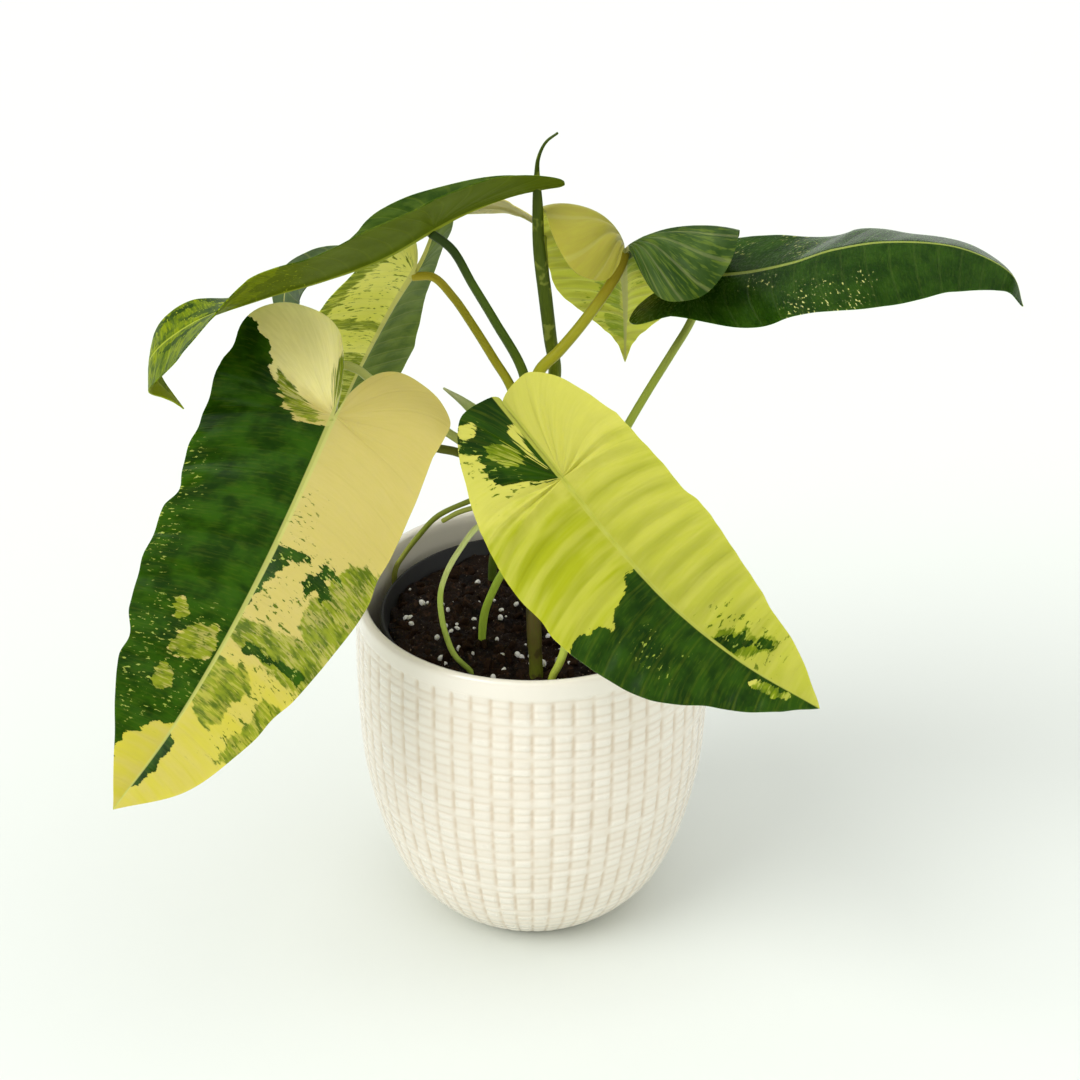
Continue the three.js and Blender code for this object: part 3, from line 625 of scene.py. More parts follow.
# Aerial roots: fleshy cords from the stem's nodes, pale where they are young. Three bend
# down into the mix, one goes between the two pots, and two end above the mix.
ROOTS = {
    "front_left": ([(-3, -20, 210), (-13, -22, 217), (-24, -24, 214), (-32, -28, 205), (-38, -33, 196),
                    (-41, -37, 187), (-40.5, -40, 176), (-38.3, -42, 166.5), (-35, -43, 158),
                    (-28, -43.5, 150), (-23, -43, 143)], 1.3,
                   [(0.42, 0.45, 0.14), (0.5, 0.55, 0.22), (0.33, 0.42, 0.08), (0.16, 0.22, 0.03)]),
    "rear_left": ([(-4, -10, 228), (-16, 8, 215), (-28, 17, 205), (-45, 28, 190), (-54, 31, 178),
                   (-61, 33, 167), (-66, 36, 156), (-66.5, 36, 138)], 1.3,
                  [(0.2, 0.22, 0.03), (0.14, 0.17, 0.02), (0.25, 0.27, 0.05)]),
    "rear_fork": ([(-3, -12, 216), (-14, 2, 212), (-26, 12, 204), (-35, 20, 196.5), (-42, 25, 189.5)], 1.2,
                  [(0.3, 0.32, 0.06), (0.25, 0.27, 0.05)]),
    "left": ([(-2, -22, 208), (-9, -15, 193), (-14.3, -16, 184), (-17.3, -17, 178), (-21.7, -19, 166.5),
              (-23.3, -19.5, 152), (-23.5, -20, 138)], 1.8,
             [(0.25, 0.36, 0.02), (0.33, 0.46, 0.05), (0.28, 0.42, 0.04)]),
    "short": ([(-3, -12, 220), (-10, -8, 206), (-16, -7, 195), (-18, -6, 186), (-18.5, -6, 176)], 2,
              [(0.09, 0.13, 0.01), (0.07, 0.11, 0.01), (0.05, 0.08, 0.008)]),
    "front_right": ([(2, -24, 202), (12, -38, 190), (15.5, -47, 176), (14.3, -51, 166), (12, -52, 159),
                     (9, -52, 152), (7.5, -52, 140)], 1.8,
                    [(0.3, 0.38, 0.04), (0.42, 0.5, 0.08), (0.3, 0.35, 0.04)]),
}
ROOT_LIGHTNESS = 1.7
for name, (points, thick, colours) in ROOTS.items():
    colours = [tuple(ROOT_LIGHTNESS * c for c in colour) for colour in colours]
    root_skin = skin("root_skin_" + name, colours, streak=0.2, rough=0.4)
    grown("root_" + name, points, [thick], root_skin, "root", "aerial_root_" + name, sides=16, steps=80,
          knobs=0.05, seed=thick * 7)


# Leaf blades: firm glossy heart-shaped leaves, each half folded up from a raised midrib
# and rippled by its side veins. Dark green, olive, lime and cream lie in ragged sectors.
BLADE_THICKNESS = 0.8
RIB_DEPTH = 1.5
LOBE_VEINS = 8
BLADE_VEINS = 14
LOBE_OUTLINE = [(0, 0), (-0.4, 0.05), (-0.78, 0.16), (-0.97, 0.3), (-1, 0.48), (-0.93, 0.7), (-0.68, 0.88),
                (-0.32, 0.97)]
STALK_SHARE = 0.1
LOBE_SPREAD = 1.5
VEIN_CURVE = 14
SECTOR_REACH = 40


class Midrib:
    """The midrib's curve and the blade's frame along it."""

    def __init__(self, points, face):
        self.points = np.array(points, float)
        self.face = np.array(face, float)
        self.steps = np.linspace(0, 1, 401)
        fine = self.at(self.steps)
        self.reach = np.concatenate([[0], np.cumsum(np.linalg.norm(np.diff(fine, axis=0), axis=1))])
        self.length = self.reach[-1]

    def at(self, t):
        return np.stack([along(self.points[:, k], t) for k in range(3)], 1)

    def frame(self, u):
        t = np.interp(np.clip(u, 0, 1) * self.length, self.reach, self.steps)
        way = self.at(np.clip(t + 1e-4, 0, 1)) - self.at(np.clip(t - 1e-4, 0, 1))
        way /= np.linalg.norm(way, axis=1, keepdims=True)
        face = np.stack([along(self.face[:, k], u) for k in range(3)], 1)
        face -= way * (face * way).sum(1, keepdims=True)
        face /= np.linalg.norm(face, axis=1, keepdims=True)
        return self.at(t), way, face, np.cross(way, face)


def blade_point(leaf, midrib, half, x, y):
    """Where a flat place x along and y across one half comes to lie in space."""
    h = leaf[half]
    sign = 1 if half == "left" else -1
    u = np.clip(x / midrib.length, 0, 1)
    place, way, face, side = midrib.frame(u)
    place0, way0, face0, side0 = (v[0] for v in midrib.frame(np.array([0.0])))
    bend = math.radians(h.get("bend", 0) or 0.01) / h["lobe"]
    turned = (-x * bend)[:, None]
    behind = (x < 0)[:, None]
    rolled = place0 - way0 * np.sin(turned) / bend + face0 * (1 - np.cos(turned)) / bend
    place = np.where(behind, rolled, place)
    face = np.where(behind, face0 * np.cos(turned) + way0 * np.sin(turned), face)
    side = np.where(behind, side0, side)
    back = smoothstep(-x, 0, h["lobe"])
    fold = np.radians(along(h["fold"], u) + back * h.get("lobe_fold", 0))
    curl = along(h["curl"], u) + back * h.get("lobe_curl", 0)
    width = max(h["widths"])
    turn = np.radians(np.where(curl == 0, 0.01, curl)) / width
    across = (np.sin(fold + turn * y) - np.sin(fold)) / turn
    rise = (np.cos(fold) - np.cos(fold + turn * y)) / turn
    rise += leaf["wave"] * (y / width) ** 2 * np.sin(math.tau * leaf["waves"] * x / midrib.length + sign)
    return place + side * (sign * across)[:, None] + face * rise[:, None]


def margin_place(h, length, vein):
    if vein <= LOBE_VEINS:
        places = [(x, y * h["sinus"] if i < 4 else y) for i, (x, y) in enumerate(LOBE_OUTLINE)] + [(0, 1)]
        x, y = (along([p[k] for p in places], vein / LOBE_VEINS)[0] for k in (0, 1))
        return x * h["lobe"], y * h["widths"][0] * (1 + h["taper"] * x)
    u = (vein - LOBE_VEINS) / BLADE_VEINS
    return u * length, max(0.0, along([*h["widths"], 0], u)[0])


def inside(outline, x, y):
    """Distance into an outline of (x, y) corners, in millimetres, negative outside it."""
    corners = np.array(outline, float)
    nearest = np.full(x.shape, 1e9)
    crossings = np.zeros(x.shape, int)
    for (ax, ay), (bx, by) in zip(corners, np.roll(corners, -1, 0)):
        beside = (x - ax) * (bx - ax) + (y - ay) * (by - ay)
        t = np.clip(beside / ((bx - ax) ** 2 + (by - ay) ** 2), 0, 1)
        nearest = np.minimum(nearest, np.hypot(x - ax - t * (bx - ax), y - ay - t * (by - ay)))
        if ay != by:
            crossings += ((ay > y) != (by > y)) & (x < ax + (y - ay) * (bx - ax) / (by - ay))
    return np.where(crossings % 2 == 1, nearest, -nearest)


def sector(outlines, x, y):
    """Distance into the nearest of several outlines."""
    if not outlines:
        return np.full(np.shape(x), -float(SECTOR_REACH))
    depths = [inside(outline, x, y) for outline in outlines]
    return np.clip(np.max(depths, 0), -SECTOR_REACH, SECTOR_REACH)


LOBE_FINENESS = 6
BLADE_FINENESS = 9
VEIN_LINES = np.concatenate([
    np.linspace(0, LOBE_VEINS, LOBE_VEINS * LOBE_FINENESS + 1)[:-1],
    np.linspace(LOBE_VEINS, LOBE_VEINS + BLADE_VEINS, BLADE_VEINS * BLADE_FINENESS + 1)])
SHARES = np.concatenate([[0, 0.02, 0.045, 0.075], np.linspace(0.11, 0.985, 20), [1.0]])


def leaf_blade(name, leaf):
    """One blade: both faces on the same grid of side veins, joined round the margin."""
    midrib = Midrib(leaf["midrib"], leaf["face"])
    length = midrib.length
    vertices = []
    marks = {}
    known = {}
    faces = []
    corner_marks = []
    grids = {}
    for half in ("left", "right"):
        h = leaf[half]
        margins = np.array([margin_place(h, length, v) for v in VEIN_LINES])
        dips = np.sin(margins[:, 0] * 0.19 + 2.2 * len(name)) + np.sin(margins[:, 0] * 0.083 + len(name))
        dips = np.clip(dips * 0.5, 0, 1) ** 2
        margins[:, 1] *= 1 - h.get("notch", 0.03) * dips
        start = np.maximum(0, margins[:, 0] - STALK_SHARE * length) / (1 - STALK_SHARE)
        x = start[:, None] + (margins[:, :1] - start[:, None]) * SHARES
        y = margins[:, 1:] * SHARES
        lobe_phase = (VEIN_LINES / LOBE_VEINS - 1) * h["lobe"] * LOBE_SPREAD
        phase = np.where(VEIN_LINES < LOBE_VEINS, lobe_phase, margins[:, 0])
        phase = np.repeat(phase[:, None], len(SHARES), 1)
        phase = phase + VEIN_CURVE * SHARES * (1 - SHARES) * np.clip(1 - margins[:, :1] / length, 0, 1)
        flat_x, flat_y, flat_phase = x.ravel(), y.ravel(), phase.ravel()
        width = np.maximum(1, np.repeat(np.maximum(margins[:, 1:], 12), len(SHARES), 1).ravel())
        moved = [blade_point(leaf, midrib, half, flat_x + dx, flat_y + dy)
                 for dx, dy in ((0, 0), (0.5, 0), (-0.5, 0), (0, 0.1), (0, -0.1))]
        place = moved[0]
        normal = np.cross(moved[3] - moved[4], moved[1] - moved[2])
        normal /= np.linalg.norm(normal, axis=1, keepdims=True)
        if half == "right":
            normal = -normal
        on_rib = flat_y < 1e-6
        normal[on_rib] = midrib.frame(np.clip(flat_x[on_rib] / length, 0, 1))[2]
        # Side veins press soft furrows into the blade, which fade at the midrib and the margin.
        swell = np.clip(flat_y / 9, 0, 1) * np.clip((width - flat_y) / 12 + 0.2, 0, 1)
        furrow = np.sqrt(np.sin(math.pi * flat_phase / leaf["swell_gap"]) ** 2 + 0.08) - 0.66
        swell = swell * leaf["ripple"] * furrow
        ruffle = h.get("ruffle", 0) * np.clip(flat_y / width, 0, 1) ** 3
        frill = np.sin(flat_phase * 0.21 + 1) + 0.6 * np.sin(flat_phase * 0.37)
        swell = swell + ruffle * frill * np.clip(1 - flat_x / length, 0, 0.5)
        taper = np.clip(1 - flat_x / length, 0, 1)
        rib = RIB_DEPTH * taper * np.exp(-(flat_y ** 2) / 5)
        groove = 0.35 * np.exp(-(flat_y ** 2) / 2.5) * (0.4 + 0.6 * taper)
        thick = BLADE_THICKNESS / 2 * (0.55 + 0.45 * np.clip((width - flat_y) / 6, 0, 1))
        top = place + normal * (thick + swell - groove)[:, None]
        bottom = place + normal * (swell - thick - rib)[:, None]
        side = -1 if half == "left" else 1
        signed = side * flat_y
        zones = [sector(leaf[key].get(half), flat_x, signed) for key in ("dark", "mid", "fleck")]
        zones[0] = np.minimum(zones[0], -sector(leaf["light"].get(half), flat_x, signed))
        warm = sector(leaf["warm"].get(half), flat_x, signed)
        grid = np.zeros(x.shape, int)
        for n in range(len(flat_x)):
            key = ("rib", round(float(flat_x[n]), 3)) if flat_y[n] < 1e-6 else (half, n)
            if key not in known:
                known[key] = len(vertices)
                vertices.extend([top[n], bottom[n]])
            grid.flat[n] = known[key]
        marks[half] = {"flat": np.stack([flat_x, signed, flat_phase], 1), "zones": np.stack(zones, 1),
                       "warm": warm}
        grids[half] = grid

    def face(half, cells, numbers, under):
        kept = []
        for cell, number in zip(cells, numbers):
            if not kept or (cell != kept[-1][0] and cell != kept[0][0]):
                kept.append((cell, number))
        if len(kept) < 3:
            return
        faces.append([cell for cell, _ in kept])
        corner_marks.extend((half, number, under) for _, number in kept)

    for half in ("left", "right"):
        grid = grids[half]
        rows, columns = grid.shape
        for i in range(rows - 1):
            for j in range(columns - 1):
                quad = [(i, j), (i, j + 1), (i + 1, j + 1), (i + 1, j)]
                if half == "right":
                    quad.reverse()
                numbers = [a * columns + b for a, b in quad]
                cells = [int(grid[a, b]) for a, b in quad]
                face(half, cells, numbers, 0)
                face(half, [c + 1 for c in reversed(cells)], list(reversed(numbers)), 1)
        for i in range(rows - 1):
            a, b = (i, i + 1) if half == "left" else (i + 1, i)
            na, nb = a * columns + columns - 1, b * columns + columns - 1
            ca, cb = int(grid[a, -1]), int(grid[b, -1])
            if ca != cb:
                face(half, [ca, ca + 1, cb + 1, cb], [na, na, nb, nb], 0)
    flat, zones, tone = [], [], []
    for half, number, under in corner_marks:
        flat.append(marks[half]["flat"][number])
        zones.append(marks[half]["zones"][number])
        tone.append((marks[half]["warm"][number], under, leaf[half].get("warmth", 1.0)))
    return vertices, faces, {"flat": flat, "zones": zones, "tone": tone}, length


def leaf_finish(name, leaf, length):
    """A leaf's skin: ragged sectors of colour that run out along the side veins."""
    paint = leaf["paint"]
    finish = Finish("leaf_" + name)
    x, y, phase = finish.attribute("flat")
    dark_in, mid_in, fleck_in = finish.attribute("zones")
    warm_in, under, warmth = finish.attribute("tone")
    across = y.math("ABSOLUTE")
    half = y.math("SIGN") * 3.0
    # Noise drawn out along the veins, coarse for the sectors' edges and fine for the threads.
    broad = finish.noise(finish.vector(phase / 9, across / 14, half), 1.0, 3.0)
    ragged = finish.noise(finish.vector(phase / 2.6, across / 9, half), 1.0, 4.0, 0.6)
    thread = finish.noise(finish.vector(phase / 0.9, across / 8, half), 1.0, 3.0)
    spot = finish.noise(finish.vector(phase / 1.1, across / 3.2, half), 1.0, 3.0)
    band = finish.noise(finish.vector(phase / 5.5, across / 45, half), 1.0, 2.0)
    reach = (across * 0.7).math("MINIMUM", 1.0)
    wander = ((broad - 0.5) * 7.0 + (ragged - 0.5) * leaf.get("ragged", 9.0)) * reach
    pale = paint["pale"]
    # The basal lobes by the stalk are painted lighter than the rest of the pale: painted light where they
    # tilt up towards the lamp, over their own cream.
    if "lobe" in paint:
        lit_lobe = (-3 - x + (broad - 0.5) * 10.0).edge(14.0) * (1.5 - y).edge(1.0)
        pale = finish.mix(lit_lobe, pale, paint["lobe"])
    tint = (warm_in + (broad - 0.5) * 26.0).edge(18.0) * warmth * (1 - (band - 0.5).edge(0.25) * 0.45)
    colour = finish.mix(tint, pale, paint["warm"])
    colour = finish.mix((thread - 0.5).edge(0.35) * leaf.get("threads", 0.12), colour, paint["thread"])
    mid = (mid_in + wander).edge(1.2)
    mid_shade = finish.mix((ragged - 0.52).edge(0.25), paint["mid"], paint["mid_deep"])
    mid_shade = finish.mix((thread * 0.6 + broad * 0.4 - 0.53).edge(0.1) * 0.55, mid_shade, colour)
    colour = finish.mix(mid, colour, mid_shade)
    dark = (dark_in + wander).edge(0.4)
    dark_shade = finish.mix((broad - 0.5).edge(0.35), paint["dark"], paint["dark_light"])
    dark_shade = finish.mix((thread - 0.56).edge(0.12) * 0.2, dark_shade, paint["mid_deep"])
    colour = finish.mix(dark, colour, dark_shade)
    # Flecks: pale ones on the dark sectors and green ones on the pale, where the plant is mottled.
    dense = (fleck_in + 4.0).edge(16.0)
    pale_fleck = (spot - 0.74 + dense * 0.11).edge(0.05) * dense
    colour = finish.mix(pale_fleck * dark, colour, paint["fleck"])
    green_fleck = (ragged * 0.5 + spot * 0.5 - 0.66 + dense * 0.09).edge(0.05) * dense
    colour = finish.mix(green_fleck * (1 - dark), colour, paint["mid_deep"])
    # Side veins and midrib.
    gap = leaf["vein_gap"]
    saw = (phase / gap).math("FRACT") - 0.5
    vein = (0.5 - saw.math("ABSOLUTE")) * gap
    vein_line = (0.45 - vein).edge(0.5) * (across - 1.5).edge(3.0)
    colour = finish.mix(vein_line * leaf.get("veins", 0.12), colour, paint["vein"])
    rib_width = (1 - x / length).math("MAXIMUM", 0.0) * 1.3 + 0.35
    rib = (rib_width - across).edge(0.5)
    colour = finish.mix(rib * 0.85, colour, paint["rib"])
    colour = finish.mix(under * leaf.get("under", 0.35), colour, paint["under"])
    height = vein_line * -0.6 + thread * 0.5 + ragged * 0.3
    pore = finish.noise(finish.place(), 1500.0, 2.0)
    normal = finish.bump(height + pore * 0.25, 0.00022, 0.55)
    rough = leaf.get("rough", 0.3) + spot * 0.1 + under * 0.12
    return finish.set(colour=colour, normal=normal, roughness=rough, specular=leaf.get("gloss", 0.055),
                      through=0.6, through_radius=(1.0, 1.0, 0.3), through_scale=0.0015)


LEAVES = {
    # Hangs to the front on the left, seen from above: left half dark, right half cream.
    "front_left": dict(
        midrib=[(-84, -45, 280), (-99.5, -63.5, 250), (-116, -83, 221), (-134, -101.5, 193),
                (-154, -118.5, 165.5), (-177, -133, 138)],
        face=[(-0.1, -0.87, 0.6), (-0.1, -0.87, 0.5)],
        left=dict(widths=[54, 52.5, 51.5, 49.5, 47, 41, 31.5, 17], lobe=38, taper=-0.15, sinus=1,
                  fold=[0, 5, 10], curl=[0], ruffle=4.5, notch=0.09),
        right=dict(widths=[47, 48.5, 48, 47.5, 43, 37, 30, 20], lobe=31, taper=-0.15, sinus=1, bend=-30,
                   fold=[10, 5, 10], curl=[-10, 0, 0], lobe_fold=-10, lobe_curl=-20),
        wave=1.5, waves=3, ripple=1.1, vein_gap=9.5, swell_gap=19, rough=0.17, veins=0.02,
        dark=dict(
            left=[[(-30, -75), (-26, -54), (-22, -45.5), (-18.5, -40.5), (-13.5, -38), (-8.5, -33),
                   (-3.5, -29), (0, -25.5), (5, -20.5), (7, -14), (7, -8), (5, -2), (4, 4), (144.5, 4),
                   (150, -7), (154, -10.5), (159, -13), (164, -14.5), (170, -15.8), (178, -12), (185, -30),
                   (120, -80)]],
            right=[[(58, -4), (60, 6), (66, 9), (70, 7), (76, 3), (84, 1.5), (95, 1), (90, -4)],
                   [(59, 8), (60, 34), (63.5, 33), (62, 20), (63, 8)],
                   [(64, 19), (63, 26), (70, 31), (76, 30), (70, 24), (74, 21), (70, 18)],
                   [(102, 8), (103, 38), (108, 36), (106, 20), (108, 8)],
                   [(150, -3), (152, 4), (162, 5), (176, 3.5), (184, -3)]]),
        light=dict(left=[[(104, -14), (103, -6), (108, -3), (114, -2), (119, -6), (120, -12), (122, -18),
                          (118, -20), (110, -17)],
                         [(99, -25), (101, -20), (105, -19), (107, -23), (103, -27)],
                         [(126, -19), (127, -12), (136, -10), (138, -16), (132, -20)]]),
        mid=dict(
            left=[[(97, -29), (97, -17), (108, -16), (110, -24), (105, -31)],
                  [(124, -22), (124, -10), (138, -7), (141, -18), (133, -24)],
                  [(101, -14), (100, -6), (106, -1), (114, 0), (121, -6), (122, -12), (124, -18), (118, -22),
                   (110, -19)],
                  [(-8.5, -32), (-8, -24), (-3, -20), (0, -12), (2, -4), (4, -1), (7, -8), (7, -14),
                   (5, -20.5), (0, -25.5), (-4, -30)],
                  [(-28, -7), (-22, -9), (-12, -5), (-3, -1.5), (0, 2), (-30, 2)]],
            right=[[(54, 34), (54, 50), (92, 60), (92, 30), (84, 24), (72, 26), (60, 30)],
                   [(93, -2), (92, 55), (110, 50), (110, 30), (104, -2)],
                   [(112, -2), (113, 14), (118, 21), (124, 20), (128, 15), (134, 16), (141, 14), (140, 4),
                    (130, -2)],
                   [(118, 26), (119, 45), (145, 45), (150, 24), (140, 24), (128, 27)]]),
        fleck=dict(
            left=[[(30, -70), (95, -70), (95, -38), (60, -40), (35, -43)],
                  [(98, -33), (98, -5), (142, -3), (148, -10), (160, -25), (120, -42)]],
            right=[[(34, -2), (34, 8), (58, 14), (56, 50), (112, 52), (112, -2)],
                   [(112, 20), (112, 50), (150, 42), (150, 18)]]),
        warm=dict(left=[[(138, 5), (195, 5), (195, -40), (150, -40)]],
                  right=[[(110, -5), (110, 60), (170, 60), (195, -5)]]),
        # The lobe colour is the lobes' own cream painted lighter, as painted light where the lobes face the
        # lamp.
        paint=dict(pale=(0.55, 0.47, 0.145), lobe=(0.88, 0.8, 0.36), warm=(0.55, 0.5, 0.06),
                   thread=(0.42, 0.38, 0.06), mid=(0.25, 0.3, 0.016), mid_deep=(0.09, 0.14, 0.008),
                   dark=(0.009, 0.036, 0.001), dark_light=(0.03, 0.095, 0.003), fleck=(0.36, 0.42, 0.08),
                   vein=(0.2, 0.25, 0.03), rib=(0.5, 0.52, 0.14), under=(0.4, 0.4, 0.12))),
    # Hangs to the front on the right, seen from above: lime and cream with a dark left tip.
    "front_right": dict(
        midrib=[(13, -60, 258), (35, -83.5, 239.5), (59, -106, 222), (87, -126.5, 207.5), (117, -146, 198)],
        face=[(0.1, -0.8, 0.6), (0.1, -0.8, 0.6)],
        left=dict(widths=[43, 46.3, 47, 46.8, 42.5, 36.8, 24.7, 13.5], lobe=49, taper=0.3, sinus=0.05,
                  fold=[10, 5, 10], curl=[-10, 0, 0]),
        right=dict(widths=[42, 42.7, 44.5, 45.5, 42.5, 36.5, 28.2, 18], lobe=45, taper=0.3, sinus=0.05,
                   fold=[50, 45, 30], curl=[-10, 0, 0], lobe_fold=-10, warmth=0.55),
        wave=1.5, waves=3, ripple=2.3, vein_gap=7.5, swell_gap=10.5, rough=0.18, veins=0.04,
        dark=dict(
            left=[[(-54, -22), (-52, -8), (-50, 6), (-1, 6), (-1, -3), (-3, -10), (-6, -16), (-10, -24),
                   (-14, -26), (-22, -25), (-28, -24), (-34, -28), (-41, -28)],
                  [(49, 5), (52, -3), (54, -8), (58, -15.5), (62, -22), (65.5, -27), (63, -29.5), (60.5, -32),
                   (62, -34.5), (58, -38), (62, -48), (100, -64), (140, -30), (152, 5)]],
            right=[[(94, -3), (97, 4), (103, 8), (106, 13), (110, 10), (114, 14), (119, 15), (121, 13),
                    (114, 9), (108, 5), (104, -2)]]),
        light=dict(left=[[(-34, -4.5), (-30, -2.5), (-16, -3.5), (-7, -2.5), (-16, -6.5), (-28, -7.5)],
                         [(-31, -18), (-27, -10), (-20, -8), (-14, -10), (-17, -17), (-24, -21)],
                         [(-45, -20), (-42, -16), (-38, -19), (-40, -24)],
                         [(120, -6), (124, -2), (138, -1), (136, -5), (126, -7)]]),
        mid=dict(
            left=[[(-34, -20), (-29, -8), (-20, -6), (-11, -9), (-15, -19), (-24, -23)],
                  [(118, -8), (122, 0), (140, 1), (138, -7), (126, -9)]],
            right=[[(92, -4), (96, 7), (103, 11), (107, 16), (112, 14), (120, 18), (123, 14), (115, 6),
                    (108, -2)]]),
        fleck=dict(left=[[(-45, -34), (-45, -16), (-5, -16), (-5, -30)],
                         [(74, -26), (74, -14), (92, -14), (92, -26)]],
                   right=[[(90, 0), (90, 18), (124, 20), (124, 2)]]),
        warm=dict(left=[[(5, 3), (5, -60), (70, -60), (70, 3)]],
                  right=[[(8, -5), (8, 60), (150, 60), (150, -5)]]),
        paint=dict(pale=(0.57, 0.555, 0.11), warm=(0.35, 0.385, 0.01), thread=(0.4, 0.42, 0.04),
                   mid=(0.2, 0.27, 0.008), mid_deep=(0.09, 0.15, 0.005), dark=(0.007, 0.03, 0.001),
                   dark_light=(0.022, 0.07, 0.002), fleck=(0.3, 0.38, 0.05), vein=(0.4, 0.42, 0.03),
                   rib=(0.48, 0.5, 0.08), under=(0.45, 0.47, 0.1))),
    # Reaches out to the left, seen edge-on from below, its tip rolled under.
    "upper_left": dict(
        midrib=[(-41, -8, 351), (-64, -18, 341), (-89, -25, 334), (-114, -30, 328), (-144, -35, 317.5),
                (-163, -34, 298), (-151.5, -23, 272)],
        face=[(0, 0.38, 0.92), (0, 0.45, 0.9), (0, 0.42, 0.9), (-0.66, 0.12, 0.74), (-0.9, -0.2, -0.37)],
        left=dict(widths=[36, 38, 28, 26, 33, 31, 23, 9], lobe=50, taper=0.2, sinus=1, bend=-25,
                  fold=[22, 24, 8, 14, 0], curl=[0]),
        right=dict(widths=[33, 37, 40, 40, 38, 33, 24, 9], lobe=57, taper=0.4, sinus=1, bend=-28,
                   fold=[23, 14, 6, -18, -10], curl=[0]),
        wave=1, waves=3, ripple=0.3, vein_gap=9, swell_gap=9, rough=0.34, gloss=0.02, under=0.45,
        dark=dict(
            left=[[(-75, 5), (-75, -70), (85, -70), (112, -30), (96, -16), (118, -10), (104, -4), (112, 5)],
                  [(112, -26), (112, -20), (134, -14), (150, -6), (140, -17)]],
            right=[[(-75, -5), (-75, 70), (62, 70), (70, 30), (85, 22), (78, 10), (95, -5)],
                   [(85, 30), (80, 38), (110, 34), (120, 26), (100, 28)],
                   [(90, 6), (88, 12), (125, 10), (130, 5)]]),
        light={},
        mid=dict(left=[[(100, 5), (100, -60), (150, -60), (160, 5)]],
                 right=[[(60, -5), (60, 60), (125, 60), (145, -5)]]),
        fleck=dict(left=[[(40, 0), (40, -60), (160, -60), (160, 0)]],
                   right=[[(60, 0), (60, 60), (150, 60), (150, 0)]]),
        warm=dict(left=[[(110, 5), (110, -60), (180, -60), (180, 5)]],
                  right=[[(100, -5), (100, 60), (180, 60), (180, -5)]]),
        paint=dict(pale=(0.28, 0.34, 0.006), warm=(0.27, 0.32, 0.002), thread=(0.17, 0.22, 0.004),
                   mid=(0.13, 0.19, 0.004), mid_deep=(0.05, 0.09, 0.006), dark=(0.016, 0.045, 0.002),
                   dark_light=(0.05, 0.09, 0.008), fleck=(0.3, 0.36, 0.02), vein=(0.2, 0.26, 0.02),
                   rib=(0.36, 0.42, 0.04), under=(0.16, 0.2, 0.006))),
    # Hangs behind on the left, seen from below: cream and green side by side.
    "rear_left": dict(
        midrib=[(-52.5, 28, 315.5), (-65, 42, 290), (-81, 60, 253), (-91, 70, 228), (-101, 77, 205)],
        face=[(-0.45, 0.75, 0.45), (-0.5, 0.75, 0.4)],
        left=dict(widths=[25, 26, 27, 30, 32, 34, 31, 15], lobe=40, taper=0.2, sinus=1, bend=30,
                  fold=[28, 12, 2], curl=[0]),
        right=dict(widths=[24, 26, 31, 34, 33, 29, 21, 11], lobe=30, taper=0.2, sinus=1, bend=100,
                   fold=[20, 15, 10], curl=[0]),
        wave=1, waves=3, ripple=0.4, vein_gap=8.5, swell_gap=8.5, rough=0.36, gloss=0.05, under=0.08,
        dark=dict(left=[[(-60, 5), (-60, -60), (145, -60), (145, 5)]],
                  right=[[(-4, 17), (5, 23), (40, 33), (42, 45), (10, 45)]]),
        light={},
        mid=dict(right=[[(-6, 14), (5, 18), (42, 28), (42, 45), (10, 45)],
                        [(40, -5), (42, 40), (50, 40), (48, -5)],
                        [(66, -5), (66, 40), (140, 40), (140, -5)]]),
        fleck=dict(right=[[(-10, -2), (-10, 30), (100, 40), (100, -2)]]),
        warm=dict(right=[[(20, -5), (20, 40), (60, 40), (60, -5)]]),
        # Cream and yellow are painted brighter than the leaf's own colour: painted light on this underside,
        # which hangs in shade.
        paint=dict(pale=(0.92, 0.9, 0.22), warm=(0.84, 0.84, 0.14), thread=(0.7, 0.7, 0.1),
                   mid=(0.36, 0.42, 0.03), mid_deep=(0.19, 0.26, 0.02), dark=(0.075, 0.14, 0.01),
                   dark_light=(0.15, 0.23, 0.025), fleck=(0.5, 0.52, 0.12), vein=(0.5, 0.52, 0.12),
                   rib=(0.7, 0.68, 0.2), under=(0.24, 0.28, 0.06))),
    # Reaches out to the right, seen from the side: dark with a pale midrib.
    "right": dict(
        midrib=[(75, 30, 311), (96, 22, 317), (114, 16, 324), (132, 10, 333), (155, 5, 338.5), (183, 0, 338),
                (205, -6, 329), (212, -8, 314)],
        face=[(0, 0.05, 1), (0, 0.1, 1), (0.5, 0, 0.85)],
        left=dict(widths=[43, 45, 46, 46, 44, 40, 31, 17], lobe=27, taper=-0.1, sinus=1, bend=-20,
                  fold=[-2, -13, -18, -20, -20], curl=[-5]),
        right=dict(widths=[40, 44, 44, 43, 40, 35, 28, 16], lobe=30, taper=0.2, sinus=1, bend=-20,
                   fold=[10, 2, -6, -9, -10], curl=[-5]),
        wave=1, waves=3, ripple=0.5, vein_gap=9.5, swell_gap=19, rough=0.22, gloss=0.04, veins=0.05,
        dark=dict(left=[[(-75, 6), (-75, -80), (180, -80), (180, 6)]],
                  right=[[(-75, -6), (-75, 80), (180, 80), (180, -6)]]),
        light={},
        mid={},
        fleck=dict(left=[[(48, -50), (48, -22), (80, -22), (80, -47)],
                         [(25, -15), (25, -5), (38, -5), (38, -15)]],
                   right=[[(5, 20), (5, 35), (15, 38), (15, 20)], [(30, 32), (30, 50), (42, 50), (42, 32)],
                          [(40, 8), (40, 30), (50, 30), (50, 8)]]),
        warm={},
        paint=dict(pale=(0.4, 0.42, 0.08), warm=(0.4, 0.42, 0.05), thread=(0.2, 0.25, 0.01),
